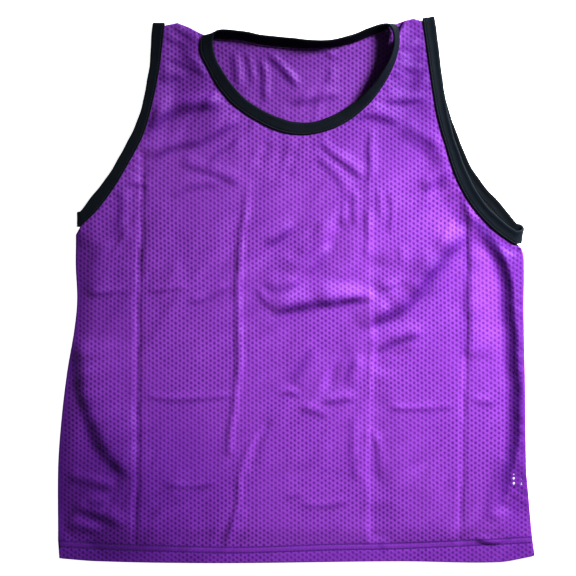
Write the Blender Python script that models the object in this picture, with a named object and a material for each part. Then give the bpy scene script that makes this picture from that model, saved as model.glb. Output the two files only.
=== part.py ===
"""Training pinnie of pin-hole mesh, laid flat on its back with the front showing.

Two mesh panels are joined at the shoulders and sides. Folded tape binds the neck and both
armholes, and each panel's bottom edge is turned up once for the hem. A small blank care label
is caught in the right side seam. The neck points to +Y and the cloth rests on z = 0.

Tables are in millimetres: x from the centre line, y up from the lowest point of the hem, and
lifts above the level at which that layer lies flat.
"""
import math

import bpy
import bmesh
from mathutils import Vector
from mathutils.geometry import delaunay_2d_cdt

MM = 0.001

# Cloth, tape and the clearance between sewn layers
CLOTH = 1.0                 # wall of one layer of mesh cloth
TAPE = 1.0                  # wall of the binding tape
GAP = 0.3                   # clearance between layers and pieces
OFF_TABLE = 0.15            # the tape's underside is this far above the cloth's
TAPE_HALF = TAPE + GAP + CLOTH / 2      # half the thickness of a bound edge
RAW_EDGE = TAPE + GAP + 0.3             # the panel stops this far inside the tape's fold
UNDER_TAPE = 1.0            # the panel lies straight this far past the tape's sewn edge
FOLD_ROUND = 0.6            # rounding along the tape's fold

# Levels of the middle of each cloth layer
BACK_FLAT = CLOTH / 2
FRONT_FLAT = CLOTH + GAP + CLOTH / 2
BACK_TAPE = TAPE_HALF + OFF_TABLE
FRONT_TAPE = BACK_TAPE + 2 * TAPE_HALF + GAP
LOFT = 2.2                  # air between the panels away from the seams
FOLD_ROOM = 1.6             # the front clears a fold of the back by this many times its height
NEAR_STEPS = range(-28, 29, 7)      # and does so when the fold is this far to either side

# Hem: each panel's bottom edge turned up inside
HEM = 18.0
HEM_STEP = 2.0              # length over which the doubled hem thins to one layer

# Spacing of the facets
TAPE_STEP = 9.0
FRONT_PITCH = 20.0
BACK_PITCH = 31.0
FOLD_STEP = 14.0
EDGE_STEP = 26.0            # along the plain edges
TURN_STEPS = 6              # facets where a band turns over a shoulder or the underarm
ROW_RISE = math.sqrt(0.75)  # from one row of an even scatter to the next, in pitches

# Room kept round each point of the scatter, in pitches: from the border, from other points
CREST_ROOM = (0.3, 0.4)
SCATTER_ROOM = (0.45, 0.6)

# How far the cloth takes to rise from an edge to its free height
BAND_REACH = 24.0           # from the height of a band
SEAM_REACH = 34.0           # from a side seam
HEM_REACH = 30.0            # from the hem
FOLD_AT_SEAM = 0.25         # share of a fold's height that reaches the seam

# One row for each section of a bound edge: the tape's fold, its sewn edge, and how far each
# is lifted above that layer's level. The neck's corners give heights above the table.
# fold_x, fold_y, sewn_x, sewn_y, fold_lift, sewn_lift
NECK_FRONT = (
    (-86.0, 550.0, -99.5, 549.0, 2.0, 0.0),
    (-86.0, 540.0, -100.0, 536.5, 0.5, 0.0),
    (-81.5, 525.5, -92.5, 520.0, 0.3, 0.0),
    (-71.5, 508.5, -82.0, 501.0, 0.0, -0.5),
    (-60.0, 494.5, -69.0, 485.0, -0.5, -1.0),
    (-46.5, 483.0, -54.5, 473.0, -1.0, -1.5),
    (-31.0, 473.5, -37.5, 462.5, -1.0, -1.5),
    (-12.0, 465.5, -16.0, 453.0, -1.0, -1.5),
    (7.5, 462.5, 7.5, 449.5, -1.0, -1.5),
    (25.5, 465.0, 30.0, 453.0, -0.5, -1.0),
    (43.5, 472.0, 50.5, 461.0, 0.5, 0.0),
    (58.5, 481.0, 67.0, 472.5, 3.0, 0.5),
    (72.0, 491.5, 80.5, 486.0, 7.0, 1.0),
    (86.0, 507.5, 93.5, 505.0, 10.5, 1.5),
    (96.0, 522.5, 102.0, 522.0, 12.5, 2.0),
    (102.0, 538.0, 107.0, 538.5, 12.0, 2.0),
    (102.5, 551.0, 108.0, 552.0, 11.5, 1.5),
)
NECK_CORNER_RIGHT = (
    (100.5, 558.5, 107.5, 560.5, 15.5, 6.0),
    (96.0, 563.5, 102.0, 565.0, 14.0, 4.0),
)
NECK_BACK = (
    (88.5, 564.0, 91.0, 559.5, 11.0, 0.5),
    (78.5, 560.5, 80.0, 555.5, 10.5, 0.5),
    (59.5, 553.0, 60.5, 548.0, 10.5, 0.5),
    (36.0, 547.5, 37.0, 543.0, 11.5, 0.5),
    (15.0, 547.5, 14.5, 542.0, 11.0, 0.5),
    (-11.0, 551.0, -12.0, 542.0, 8.5, 0.5),
    (-35.0, 553.5, -37.0, 545.0, 9.0, 0.5),
    (-55.0, 557.0, -57.5, 549.5, 9.0, 0.5),
    (-75.0, 559.0, -79.0, 550.5, 8.5, 0.3),
)
NECK_CORNER_LEFT = (
    (-81.0, 558.0, -90.0, 552.5, 10.0, 3.0),
    (-84.5, 555.0, -97.0, 554.0, 9.0, 4.8),
)
ARMHOLE_LEFT = (
    (-226.0, 369.0, -226.0, 353.0, 0.0, 0.0),
    (-219.5, 377.5, -210.0, 368.0, 0.0, 0.0),
    (-200.0, 402.0, -189.5, 395.0, 0.0, 0.0),
    (-184.5, 427.5, -174.0, 421.5, 0.0, 0.0),
    (-171.0, 452.5, -160.0, 448.0, 0.0, 0.0),
    (-161.5, 479.0, -151.5, 476.0, 0.0, 0.0),
    (-156.0, 504.0, -145.5, 503.0, 0.0, 0.0),
    (-153.0, 524.0, -142.0, 523.5, 0.0, 0.0),
    (-152.0, 544.0, -139.5, 543.5, 0.0, 0.0),
    (-150.0, 564.0, -137.5, 564.0, 0.0, 0.0),
)
ARMHOLE_RIGHT_FRONT = (
    (146.0, 571.0, 133.5, 569.0, 0.0, 0.0),
    (149.0, 549.0, 136.5, 549.0, 0.0, 0.0),
    (152.5, 521.0, 140.5, 521.0, 0.0, 0.0),
    (155.0, 502.0, 143.5, 500.0, 0.0, 0.0),
    (159.5, 474.0, 148.5, 471.0, 0.5, 0.0),
    (167.5, 444.0, 157.0, 440.0, 1.5, 0.5),
    (179.5, 410.5, 168.5, 405.0, 2.0, 1.0),
    (191.5, 388.0, 181.0, 381.0, 2.5, 1.0),
    (204.0, 371.5, 194.5, 363.5, 3.0, 1.5),
    (218.0, 358.0, 209.5, 348.5, 3.5, 2.0),
    (231.0, 348.5, 228.5, 335.0, 4.0, 2.5),
)
ARMHOLE_RIGHT_BACK = (
    (232.5, 357.0, 229.5, 338.5, 0.0, 0.0),
    (216.0, 377.0, 207.0, 368.0, 0.0, 0.0),
    (201.5, 392.0, 192.0, 384.0, 0.0, 0.0),
    (185.5, 415.0, 174.5, 408.5, 0.0, 0.0),
    (174.0, 440.0, 162.5, 435.0, 0.0, 0.0),
    (164.5, 465.0, 152.5, 461.0, 0.0, 0.0),
    (157.5, 490.5, 145.0, 487.5, 0.0, 0.0),
    (153.5, 515.5, 141.0, 514.5, 0.0, 0.0),
    (149.5, 546.0, 137.0, 545.0, 0.0, 0.0),
    (146.0, 571.0, 133.5, 569.0, 0.0, 0.0),
)

# Which way and how far an armhole's tape stands out where it turns between front and back
SHOULDER_TURN = (0.0, 2.0)
UNDERARM_LEFT_TURN = (-2.0, 0.0)
UNDERARM_RIGHT_TURN = (7.0, -0.5)       # it gapes open here

# Plain edges: x, y
HEM_EDGE = ((-248.0, 5.0), (-207.5, 2.0), (-81.5, 0.0), (107.5, 2.0), (212.5, 1.0), (251.0, 7.5))
SIDE_RIGHT = ((249.0, 24.0), (244.5, 72.0), (242.0, 100.0), (240.5, 190.0), (239.0, 263.5),
              (239.0, 322.0), (236.5, 330.5))
SIDE_LEFT = ((-230.5, 344.5), (-231.0, 314.0), (-229.5, 276.0), (-232.5, 244.5), (-240.0, 200.5),
             (-246.0, 150.0), (-249.5, 100.0), (-249.5, 24.0))
SHOULDER_RIGHT = ((124.0, 571.5), (115.0, 569.5))
SHOULDER_LEFT = ((-112.0, 562.5), (-124.0, 567.0))
CORNER_RIGHT = ((110.5, 562.0),)                    # front panel, round the neck's corner
CORNER_LEFT = ((-103.5, 557.5),)
CORNER_RIGHT_BACK = ((107.0, 567.0), (98.0, 563.5))     # back panel, under the corner
CORNER_LEFT_BACK = ((-90.0, 552.0), (-101.0, 557.0))

# Folds: start, middle and end of the crest, half width and height (below 0 for a trough)
# x1, y1, x2, y2, x3, y3, half_width, height
FRONT_FOLDS = (
    (185.0, 376.0, 203.0, 318.0, 212.0, 210.0, 24.0, 4.0),      # crest beside the right side
    (203.0, 344.0, 228.0, 280.0, 232.0, 150.0, 13.0, -2.6),     # where it drops to the seam
    (49.0, 463.0, 104.0, 464.0, 160.0, 420.0, 12.0, -1.6),      # pleat from neck to armhole
    (-16.0, 264.0, 35.0, 273.0, 84.0, 262.0, 14.0, -2.2),       # slack across the front
    (87.0, 257.0, 127.0, 276.0, 164.0, 329.0, 17.0, -2.6),
    (112.0, 296.0, 142.0, 330.0, 162.0, 390.0, 22.0, 2.6),      # swell above that slack
    (82.0, 218.0, 110.0, 233.0, 136.0, 243.0, 11.0, -1.4),
    (-155.0, 458.0, -111.0, 480.0, -62.0, 474.0, 13.0, -2.0),   # drag across the left strap
    (-143.0, 490.0, -115.0, 499.0, -84.0, 503.0, 14.0, 1.4),
    (-153.0, 425.0, -108.0, 442.0, -64.0, 463.0, 11.0, -1.3),
    (26.0, 447.0, 50.0, 421.0, 71.0, 400.0, 11.0, -1.3),
    (-193.0, 386.0, -205.0, 345.0, -210.0, 285.0, 19.0, 3.0),   # crest beside the left side
    (-229.0, 197.0, -212.0, 128.0, -167.0, 91.0, 16.0, -3.0),   # slack low on the left
    (-247.0, 43.0, -211.0, 31.0, -167.0, 24.0, 12.0, -1.4),
    (-165.0, 420.0, -165.0, 230.0, -169.0, 24.0, 9.0, -1.0),    # pressed lines of the pack
    (-51.0, 394.0, -60.0, 276.0, -68.0, 124.0, 9.0, 1.1),
    (80.0, 440.0, 78.0, 320.0, 74.0, 24.0, 9.0, 1.2),
    (177.0, 385.0, 180.0, 240.0, 172.0, 24.0, 9.0, -1.1),
)
BACK_FOLDS = (
    (-60.0, 530.0, -58.0, 512.0, -57.0, 494.0, 9.0, 1.3),       # pleats seen through the neck
    (-32.0, 534.0, -32.0, 510.0, -31.0, 488.0, 9.0, 1.5),
    (-28.0, 534.0, -14.0, 516.0, 1.0, 497.0, 9.0, 1.4),
    (-162.0, 400.0, -165.0, 230.0, -168.0, 40.0, 10.0, 0.9),    # pressed lines of the pack
    (-54.0, 420.0, -60.0, 276.0, -66.0, 60.0, 10.0, 0.9),
    (80.0, 440.0, 78.0, 320.0, 74.0, 40.0, 10.0, 0.9),
    (177.0, 380.0, 180.0, 240.0, 172.0, 40.0, 10.0, 0.9),
)

# Blank care label in the right side seam: centre and size
LABEL_AT = (234.0, 87.0)
LABEL_SIZE = (13.0, 14.0)
LABEL_WALL = 1.0
LABEL_ROOM = 1.9            # how far it lifts the front panel
LABEL_REACH = 38.0          # and how far from its middle it does

MESH_PURPLE = (0.262, 0.057, 0.523)
MESH_PURPLE_INSIDE = (0.222, 0.048, 0.468)
TAPE_BLACK = (0.014, 0.021, 0.034)
LABEL_WHITE = (0.82, 0.82, 0.84)


def clear_scene():
    for old in list(bpy.context.scene.objects):
        bpy.data.objects.remove(old, do_unlink=True)


def material(name, colour, roughness):
    finish = bpy.data.materials.new(name)
    finish.use_nodes = True
    shader = finish.node_tree.nodes["Principled BSDF"]
    shader.inputs["Base Color"].default_value = (*colour, 1.0)
    shader.inputs["Roughness"].default_value = roughness
    shader.inputs["Metallic"].default_value = 0.0
    return finish


def ease(value):
    value = min(max(value, 0.0), 1.0)
    return value * value * (3.0 - 2.0 * value)


def smooth_rows(rows, step, closed=False):
    """Rows about this far apart on a smooth curve, and where the given ones come in them."""
    count = len(rows)

    def row(i):
        return rows[i % count] if closed else rows[min(max(i, 0), count - 1)]

    def length(a, b):
        return math.dist(place(a), place(b))

    result, places = [], []
    for i in range(count if closed else count - 1):
        before, start, end, after = (row(i + k) for k in (-1, 0, 1, 2))
        run = length(start, end)
        leave = [(b - a) * run / (length(before, start) + run) for a, b in zip(before, end)]
        arrive = [(b - a) * run / (run + length(end, after)) for a, b in zip(start, after)]
        places.append(len(result))
        parts = max(1, round(run / step))
        for k in range(parts):
            t = k / parts
            rise = 3 * t**2 - 2 * t**3
            result.append([a + (b - a) * rise + u * (t**3 - 2 * t**2 + t) + v * (t**3 - t**2)
                           for a, b, u, v in zip(start, end, leave, arrive)])
    if not closed:
        places.append(len(result))
        result.append(list(rows[-1]))
    return result, places


def place(row):
    """Where a row lies: its x and y, and the height of its fold where it has one."""
    return (*row[:2], *row[4:5])


def lifted(rows, level):
    return [(*row[:4], level + row[4], level + row[5]) for row in rows]


def turn_rows(last, first, away):
    """Rows on a half ellipse, where a band turns over from one side to the other."""
    rows = []
    for k in range(1, TURN_STEPS):
        angle = math.pi * k / TURN_STEPS
        start, out = (1.0 + math.cos(angle)) / 2.0, math.sin(angle)
        row = [a * start + b * (1.0 - start) for a, b in zip(last, first)]
        for i in range(4):
            row[i] += away[i % 2] * out
        rows.append(row)
    return rows


class Section:
    """One section of a bound edge: the tape's fold, its sewn edge, and which way is out."""

    def __init__(self, row, along):
        self.fold = Vector((row[0], row[1], row[4]))
        sewn = Vector((row[2], row[3], row[5]))
        self.width = (sewn - self.fold).length
        self.across = (sewn - self.fold).normalized()
        self.out = self.across.cross(along).normalized()

    def point(self, across, out=0.0):
        return self.fold + self.across * across + self.out * out


class Band:
    """A closed loop of binding tape, with the sections that hold the front and the back."""

    def __init__(self, front, first_turn, back, second_turn):
        rows, places = smooth_rows(front + first_turn + back + second_turn, TAPE_STEP, closed=True)
        folds = [Vector((row[0], row[1], row[4])) for row in rows]
        self.loop = [Section(row, folds[(i + 1) % len(folds)] - folds[i - 1])
                     for i, row in enumerate(rows)]
        back_start = len(front) + len(first_turn)
        self.front = self.loop[:places[len(front) - 1] + 1]
        self.back = self.loop[places[back_start]:places[back_start + len(back) - 1] + 1]


def neck_band():
    return Band(lifted(NECK_FRONT, FRONT_TAPE), list(NECK_CORNER_RIGHT),
                lifted(NECK_BACK, BACK_TAPE), list(NECK_CORNER_LEFT))


def armhole_band(front_rows, back_rows, turns):
    front, back = lifted(front_rows, FRONT_TAPE), lifted(back_rows, BACK_TAPE)
    return Band(front, turn_rows(front[-1], back[0], turns[0]),
                back, turn_rows(back[-1], front[0], turns[1]))


def tape_outline(width):
    """The folded tape's section, open towards the panel: (across, out) points."""
    leg = TAPE_HALF - TAPE
    return ((FOLD_ROUND, -TAPE_HALF), (0.0, FOLD_ROUND - TAPE_HALF),
            (0.0, TAPE_HALF - FOLD_ROUND), (FOLD_ROUND, TAPE_HALF),
            (width, TAPE_HALF), (width, leg), (TAPE, leg),
            (TAPE, -leg), (width, -leg), (width, -TAPE_HALF))


def add_object(name, points, faces, finish):
    mesh = bpy.data.meshes.new(name)
    mesh.from_pydata([p * MM for p in points], [], faces)
    mesh.materials.append(finish)
    tidy = bmesh.new()
    tidy.from_mesh(mesh)
    bmesh.ops.recalc_face_normals(tidy, faces=tidy.faces)
    tidy.to_mesh(mesh)
    tidy.free()
    piece = bpy.data.objects.new(name, mesh)
    bpy.context.scene.collection.objects.link(piece)
    return piece


def bind(name, band, finish):
    """Sweep the folded tape round its closed loop."""
    points = []
    for section in band.loop:
        points += [section.point(a, o) for a, o in tape_outline(section.width)]
    outline = tape_outline(band.loop[0].width)
    size, count = len(outline), len(band.loop)
    faces = []
    for i in range(count):
        here, there = i * size, (i + 1) % count * size
        for j in range(size):
            k = (j + 1) % size
            a, b, c, d = here + j, there + j, there + k, here + k
            if outline[j][0] <= outline[k][0]:
                faces += [(a, b, c), (a, c, d)]
            else:
                faces += [(a, b, d), (b, c, d)]
    return add_object(name, points, faces, finish)


def fold_points(fold, step):
    """Points along a fold's crest, a smooth curve through its three given points."""
    start, middle, end = (Vector(fold[i:i + 2]) for i in (0, 2, 4))
    bend = 2.0 * middle - (start + end) / 2.0
    length = (middle - start).length + (end - middle).length
    count = max(2, round(length / step))
    return [start.lerp(bend, k / count).lerp(bend.lerp(end, k / count), k / count)
            for k in range(count + 1)]


def distance_to_line(x, y, line):
    """Distance from a point to a polyline, and the height of the line there."""
    best, height = 1e9, 0.0
    for a, b in zip(line, line[1:]):
        run_x, run_y = b[0] - a[0], b[1] - a[1]
        t = ((x - a[0]) * run_x + (y - a[1]) * run_y) / (run_x**2 + run_y**2 + 1e-9)
        t = min(max(t, 0.0), 1.0)
        away = math.hypot(x - a[0] - t * run_x, y - a[1] - t * run_y)
        if away < best:
            best, height = away, a[2] + t * (b[2] - a[2])
    return best, height


class Panel:
    """A cut panel as a wall of cloth: its edges, its folds and the height over any point."""

    def __init__(self, name, level, loft, folds, pitch, sides, under=None):
        self.name, self.level, self.loft = name, level, loft
        self.pitch, self.sides, self.under = pitch, sides, under
        self.crests = [(fold_points(f, FOLD_STEP), f[6], f[7]) for f in folds]
        self.lines = [[s.point(s.width + UNDER_TAPE) for s in side] for side in sides]
        self.seams = [[(x, y, 0.0) for x, y in edge] for edge in (SIDE_LEFT, SIDE_RIGHT)]

    def hem_share(self, y):
        return ease((HEM + HEM_STEP - y) / HEM_STEP)

    def lowest(self, x, y):
        """Lowest level here: the front lies on the back panel, its hem and the label."""
        if not self.under:
            return self.level
        near = math.hypot(x - LABEL_AT[0], y - LABEL_AT[1]) / LABEL_REACH
        room = LABEL_ROOM * ease(2.0 - 2.0 * near)
        hem = 2.0 * CLOTH * ease((HEM + HEM_REACH - y) / HEM_REACH)
        near_by = max(self.under.height(x + step, y) for step in NEAR_STEPS)
        return self.level + max(room, hem, (near_by - self.under.level) * FOLD_ROOM)

    def height(self, x, y):
        from_seam = min(distance_to_line(x, y, seam)[0] for seam in self.seams)
        free = ease(from_seam / SEAM_REACH) * ease((y - HEM / 2) / HEM_REACH)
        height = self.level + self.loft * free
        for crest, half_width, tall in self.crests:
            away = distance_to_line(x, y, [(p.x, p.y, 0.0) for p in crest])[0]
            height += tall * (1.0 - ease(away / half_width)) * min(1.0, FOLD_AT_SEAM + free)
        height = max(height, self.lowest(x, y))
        for line in self.lines:
            away, band_height = distance_to_line(x, y, line)
            height += (band_height - height) * (1.0 - ease(away / BAND_REACH))
        return height

    def outline(self):
        """The panel inside its bindings: corner points in turn, counter-clockwise."""
        right, neck, left = self.lines
        if self.under:
            right, neck, left = right[::-1], neck[::-1], left[::-1]
        corner_right, corner_left = (
            (CORNER_RIGHT, CORNER_LEFT) if self.under else (CORNER_RIGHT_BACK, CORNER_LEFT_BACK))
        foot, side_up, side_down = (
            smooth_rows(edge, EDGE_STEP)[0] for edge in (HEM_EDGE, SIDE_RIGHT, SIDE_LEFT))
        plain = [foot + side_up, SHOULDER_RIGHT + corner_right,
                 corner_left + SHOULDER_LEFT, side_down]
        plain = [[Vector((x, y, self.height(x, y))) for x, y in edge] for edge in plain]
        return plain[0] + right + plain[1] + neck + plain[2] + left + plain[3]

    def inner_points(self, outline):
        """Points along the folds and the hem's top, then an even scatter between them."""
        border = [(p.x, p.y, 0.0) for p in outline + outline[:1]]
        top = max(p.y for p in outline)
        chosen = []

        def offer(x, y, border_room, point_room):
            if not inside(x, y, border) or distance_to_line(x, y, border)[0] < border_room:
                return
            if all(math.hypot(x - u, y - v) > point_room for u, v in chosen):
                chosen.append((x, y))

        def offer_near(x, y, rooms):
            offer(x, y, *(self.pitch * room for room in rooms))

        edge_left, edge_right = HEM_EDGE[0][0], HEM_EDGE[-1][0]
        count = round((edge_right - edge_left) / self.pitch)
        for y in (HEM, HEM + HEM_STEP):
            for k in range(1, count):
                offer(edge_left + (edge_right - edge_left) * k / count, y, HEM_STEP, HEM_STEP / 2)
        for crest, _, _ in self.crests:
            for p in crest:
                offer_near(p.x, p.y, CREST_ROOM)
        rise = self.pitch * ROW_RISE
        for row in range(round(top / rise)):
            shift = self.pitch / 2 * (row % 2)
            for k in range(count + 2):
                offer_near(edge_left + shift + k * self.pitch, row * rise, SCATTER_ROOM)
        return [Vector((x, y, self.height(x, y))) for x, y in chosen]

    def build(self, finish):
        outline = self.outline()
        points = outline + self.inner_points(outline)
        ring = [(i, (i + 1) % len(outline)) for i in range(len(outline))]
        flat = [p.to_2d() for p in points]
        faces = delaunay_2d_cdt(flat, ring, [], 1, 1e-5)[2]
        up = Vector((0.0, 0.0, 1.0 if self.under else -1.0))
        outs = [up] * len(points)
        if up.z < 0.0:
            faces = [face[::-1] for face in faces]
        # the straight strips that lie inside the tape
        place = {tuple(p): i for i, p in enumerate(points)}
        for side in self.sides:
            before = None
            for section in side:
                deep = place[tuple(section.point(section.width + UNDER_TAPE))]
                outs[deep] = section.out
                points.append(section.point(RAW_EDGE))
                outs.append(section.out)
                raw = len(points) - 1
                if before:
                    faces += [(before[0], before[1], deep), (before[0], deep, raw)]
                before = (raw, deep)
        return self.wall(points, faces, outs, finish)

    def wall(self, points, faces, outs, finish):
        """Give the middle surface its thickness, twice as deep over the turned hem."""
        size = len(points)
        outer = [p + o * CLOTH / 2 for p, o in zip(points, outs)]
        inner = [p - o * CLOTH * (0.5 + self.hem_share(p.y)) for p, o in zip(points, outs)]
        sides = {side for face in faces for side in zip(face, face[1:] + face[:1])}
        shell = [tuple(face) for face in faces]
        shell += [tuple(i + size for i in reversed(face)) for face in faces]
        for a, b in sorted(sides):
            if (b, a) not in sides:
                shell += [(b, a, a + size), (b, a + size, b + size)]
        return add_object(self.name, outer + inner, shell, finish)


def inside(x, y, border):
    odd = False
    for a, b in zip(border, border[1:]):
        if (a[1] > y) != (b[1] > y) and x < a[0] + (b[0] - a[0]) * (y - a[1]) / (b[1] - a[1]):
            odd = not odd
    return odd


def care_label(finish):
    """A small blank loop of label tape, folded flat, lying on the back panel."""
    low = Vector((LABEL_AT[0] - LABEL_SIZE[0] / 2, LABEL_AT[1] - LABEL_SIZE[1] / 2, CLOTH + GAP))
    high = low + Vector((LABEL_SIZE[0], LABEL_SIZE[1], LABEL_WALL))
    points = [Vector((x, y, z)) for z in (low.z, high.z)
              for x, y in ((low.x, low.y), (high.x, low.y), (high.x, high.y), (low.x, high.y))]
    faces = [(0, 3, 2, 1), (4, 5, 6, 7)]
    faces += [(i, (i + 1) % 4, (i + 1) % 4 + 4, i + 4) for i in range(4)]
    return add_object("care_label", points, faces, finish)


def centre_on_origin(pieces):
    """Put the middle of the garment's outline over the origin."""
    corners = [v.co for piece in pieces for v in piece.data.vertices]
    middle = [(min(c[i] for c in corners) + max(c[i] for c in corners)) / 2 for i in range(2)]
    shift = Vector((-middle[0], -middle[1], 0.0))
    for piece in pieces:
        for vertex in piece.data.vertices:
            vertex.co += shift


def main():
    clear_scene()
    purple = material("mesh_purple", MESH_PURPLE, 0.55)
    purple_inside = material("mesh_purple_back", MESH_PURPLE_INSIDE, 0.6)
    black = material("tape_black", TAPE_BLACK, 0.7)
    white = material("label_white", LABEL_WHITE, 0.6)

    neck = neck_band()
    left = armhole_band(ARMHOLE_LEFT, ARMHOLE_LEFT[::-1], (SHOULDER_TURN, UNDERARM_LEFT_TURN))
    right = armhole_band(ARMHOLE_RIGHT_FRONT, ARMHOLE_RIGHT_BACK,
                         (UNDERARM_RIGHT_TURN, SHOULDER_TURN))
    back = Panel("back_panel", BACK_FLAT, 0.0, BACK_FOLDS, BACK_PITCH,
                 (right.back, neck.back, left.back))
    front = Panel("front_panel", FRONT_FLAT, LOFT, FRONT_FOLDS, FRONT_PITCH,
                  (right.front, neck.front, left.front), back)

    pieces = [
        front.build(purple),
        back.build(purple_inside),
        bind("neck_binding", neck, black),
        bind("armhole_binding_left", left, black),
        bind("armhole_binding_right", right, black),
        care_label(white),
    ]
    centre_on_origin(pieces)


main()
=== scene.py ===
import math

import bpy
import numpy as np
from mathutils.geometry import delaunay_2d_cdt
from mathutils.kdtree import KDTree
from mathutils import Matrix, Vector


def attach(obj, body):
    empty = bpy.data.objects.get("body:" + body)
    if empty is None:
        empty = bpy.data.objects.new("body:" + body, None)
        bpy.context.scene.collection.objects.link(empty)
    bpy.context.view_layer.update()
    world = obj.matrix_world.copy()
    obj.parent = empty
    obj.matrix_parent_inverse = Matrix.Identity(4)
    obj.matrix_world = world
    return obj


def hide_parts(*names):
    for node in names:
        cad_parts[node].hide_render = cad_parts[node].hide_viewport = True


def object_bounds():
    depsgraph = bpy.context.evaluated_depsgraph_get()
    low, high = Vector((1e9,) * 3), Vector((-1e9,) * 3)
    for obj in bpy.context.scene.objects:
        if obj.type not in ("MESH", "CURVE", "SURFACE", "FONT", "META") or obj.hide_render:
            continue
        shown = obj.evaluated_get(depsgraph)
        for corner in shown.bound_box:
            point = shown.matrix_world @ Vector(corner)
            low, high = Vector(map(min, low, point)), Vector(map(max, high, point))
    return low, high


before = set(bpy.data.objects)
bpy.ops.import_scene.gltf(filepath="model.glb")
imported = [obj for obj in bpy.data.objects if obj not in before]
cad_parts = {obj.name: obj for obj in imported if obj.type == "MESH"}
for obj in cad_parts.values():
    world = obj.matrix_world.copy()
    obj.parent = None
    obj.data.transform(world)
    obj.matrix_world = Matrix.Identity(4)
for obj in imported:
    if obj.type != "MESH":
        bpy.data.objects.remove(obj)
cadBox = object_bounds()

print("frame loaded:", sorted(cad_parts))

# The tables below are in millimetres: x from the centre line, y up from the lowest point of
# the hem, lifts above the level of that layer. The garment's own box says where they lie.
mm = 0.001
outlineRight = 251.0
shift = np.array([cadBox[1].x / mm - outlineRight, cadBox[0].y / mm, 0.0])
farOff = 1e9

tape = {
    "halfThickness": 1.5,
    "foldRadius": 1.7,
    "innerGap": 0.42,           # half the room that the cloth has inside the fold
    "lip": 0.5,                 # rounding of the sewn edges
    "stitchIn": 2.0,            # the stitch line's distance from the sewn edge
    "stitchDip": 0.32,
    "stitchWidth": 0.5,
    "hollowEndsIn": 2.6,        # where the hollow between fold and stitches ends
    "step": 1.9,                # along the tape
    "nearFold": (0.12, 0.45, 0.95, 1.7),    # points across it, from the fold
    "nearEdge": (2.6, 2.3, 2.0, 1.7, 1.35, 0.9, 0.5, 0.25, 0.08, 0.0),      # and from the edge
    "bodyEndsIn": 3.0,
    # waves round the tape: how many, how far a seed moves them, height
    "puffs": ((9, 1, 0.06), (23, 2, 0.05)),
    "drifts": ((7, 1, 0.25), (19, 3, 0.15)),
    "shadeSteps": 3,
    "frontLevel": 5.85,
    "backLevel": 1.95,
    "clothStartsIn": 2.4,       # the panel's raw edge, measured from the fold
    "straightPast": 1.0,
    "turnSteps": 6,
}

# fold x, fold y, sewn edge x, sewn edge y, lift of the fold, lift of the sewn edge
neckTape = {
    "front": (
        (-86.0, 550.0, -99.5, 549.0, 2.0, 0.0),
        (-86.0, 540.0, -100.0, 536.5, 0.5, 0.0),
        (-81.5, 525.5, -92.5, 520.0, 0.3, 0.0),
        (-71.5, 508.5, -82.0, 501.0, 0.0, -0.5),
        (-60.0, 494.5, -69.0, 485.0, -0.5, -1.0),
        (-46.5, 483.0, -54.5, 473.0, -1.0, -1.5),
        (-31.0, 473.5, -37.5, 462.5, -1.0, -1.5),
        (-12.0, 465.5, -16.0, 453.0, -1.0, -1.5),
        (7.5, 462.5, 7.5, 449.5, -1.0, -1.5),
        (25.5, 465.0, 30.0, 453.0, -0.5, -1.0),
        (43.5, 472.0, 50.5, 461.0, 0.5, 0.0),
        (58.5, 481.0, 67.0, 472.5, 3.0, 0.5),
        (72.0, 491.5, 80.5, 486.0, 7.0, 1.0),
        (86.0, 507.5, 93.5, 505.0, 10.5, 1.5),
        (96.0, 522.5, 102.0, 522.0, 12.5, 2.0),
        (102.0, 538.0, 107.0, 538.5, 12.0, 2.0),
        (102.5, 551.0, 108.0, 552.0, 11.5, 1.5),
    ),
    # these two rows give heights above the table
    "cornerRight": ((100.5, 558.5, 107.5, 560.5, 15.5, 6.0),
                    (96.0, 563.5, 102.0, 565.0, 14.0, 4.0)),
    "back": (
        (88.5, 564.0, 91.0, 559.5, 11.0, 0.5),
        (78.5, 560.5, 80.0, 555.5, 10.5, 0.5),
        (59.5, 553.0, 60.5, 548.0, 10.5, 0.5),
        (36.0, 547.5, 37.0, 543.0, 11.5, 0.5),
        (15.0, 547.5, 14.5, 542.0, 11.0, 0.5),
        (-11.0, 551.0, -12.0, 542.0, 8.5, 0.5),
        (-35.0, 553.5, -37.0, 545.0, 9.0, 0.5),
        (-55.0, 557.0, -57.5, 549.5, 9.0, 0.5),
        (-75.0, 559.0, -79.0, 550.5, 8.5, 0.3),
    ),
    "cornerLeft": ((-81.0, 558.0, -90.0, 552.5, 10.0, 3.0),
                   (-84.5, 555.0, -97.0, 554.0, 9.0, 4.8)),
    "hollow": 0.12,
    "flat": (0.027, 0.488),
}

armholeTapeLeft = {
    "rows": (
        (-226.0, 369.0, -226.0, 353.0, 0.0, 0.0),
        (-219.5, 377.5, -210.0, 368.0, 0.0, 0.0),
        (-200.0, 402.0, -189.5, 395.0, 0.0, 0.0),
        (-184.5, 427.5, -174.0, 421.5, 0.0, 0.0),
        (-171.0, 452.5, -160.0, 448.0, 0.0, 0.0),
        (-161.5, 479.0, -151.5, 476.0, 0.0, 0.0),
        (-156.0, 504.0, -145.5, 503.0, 0.0, 0.0),
        (-153.0, 524.0, -142.0, 523.5, 0.0, 0.0),
        (-152.0, 544.0, -139.5, 543.5, 0.0, 0.0),
        (-150.0, 564.0, -137.5, 564.0, 0.0, 0.0),
    ),
    "turns": ((0.0, 2.0), (-2.0, 0.0)),     # how far it stands out at the shoulder and underarm
    "hollow": 0.18,
    "flat": (0.027, 0.441),
}

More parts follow.
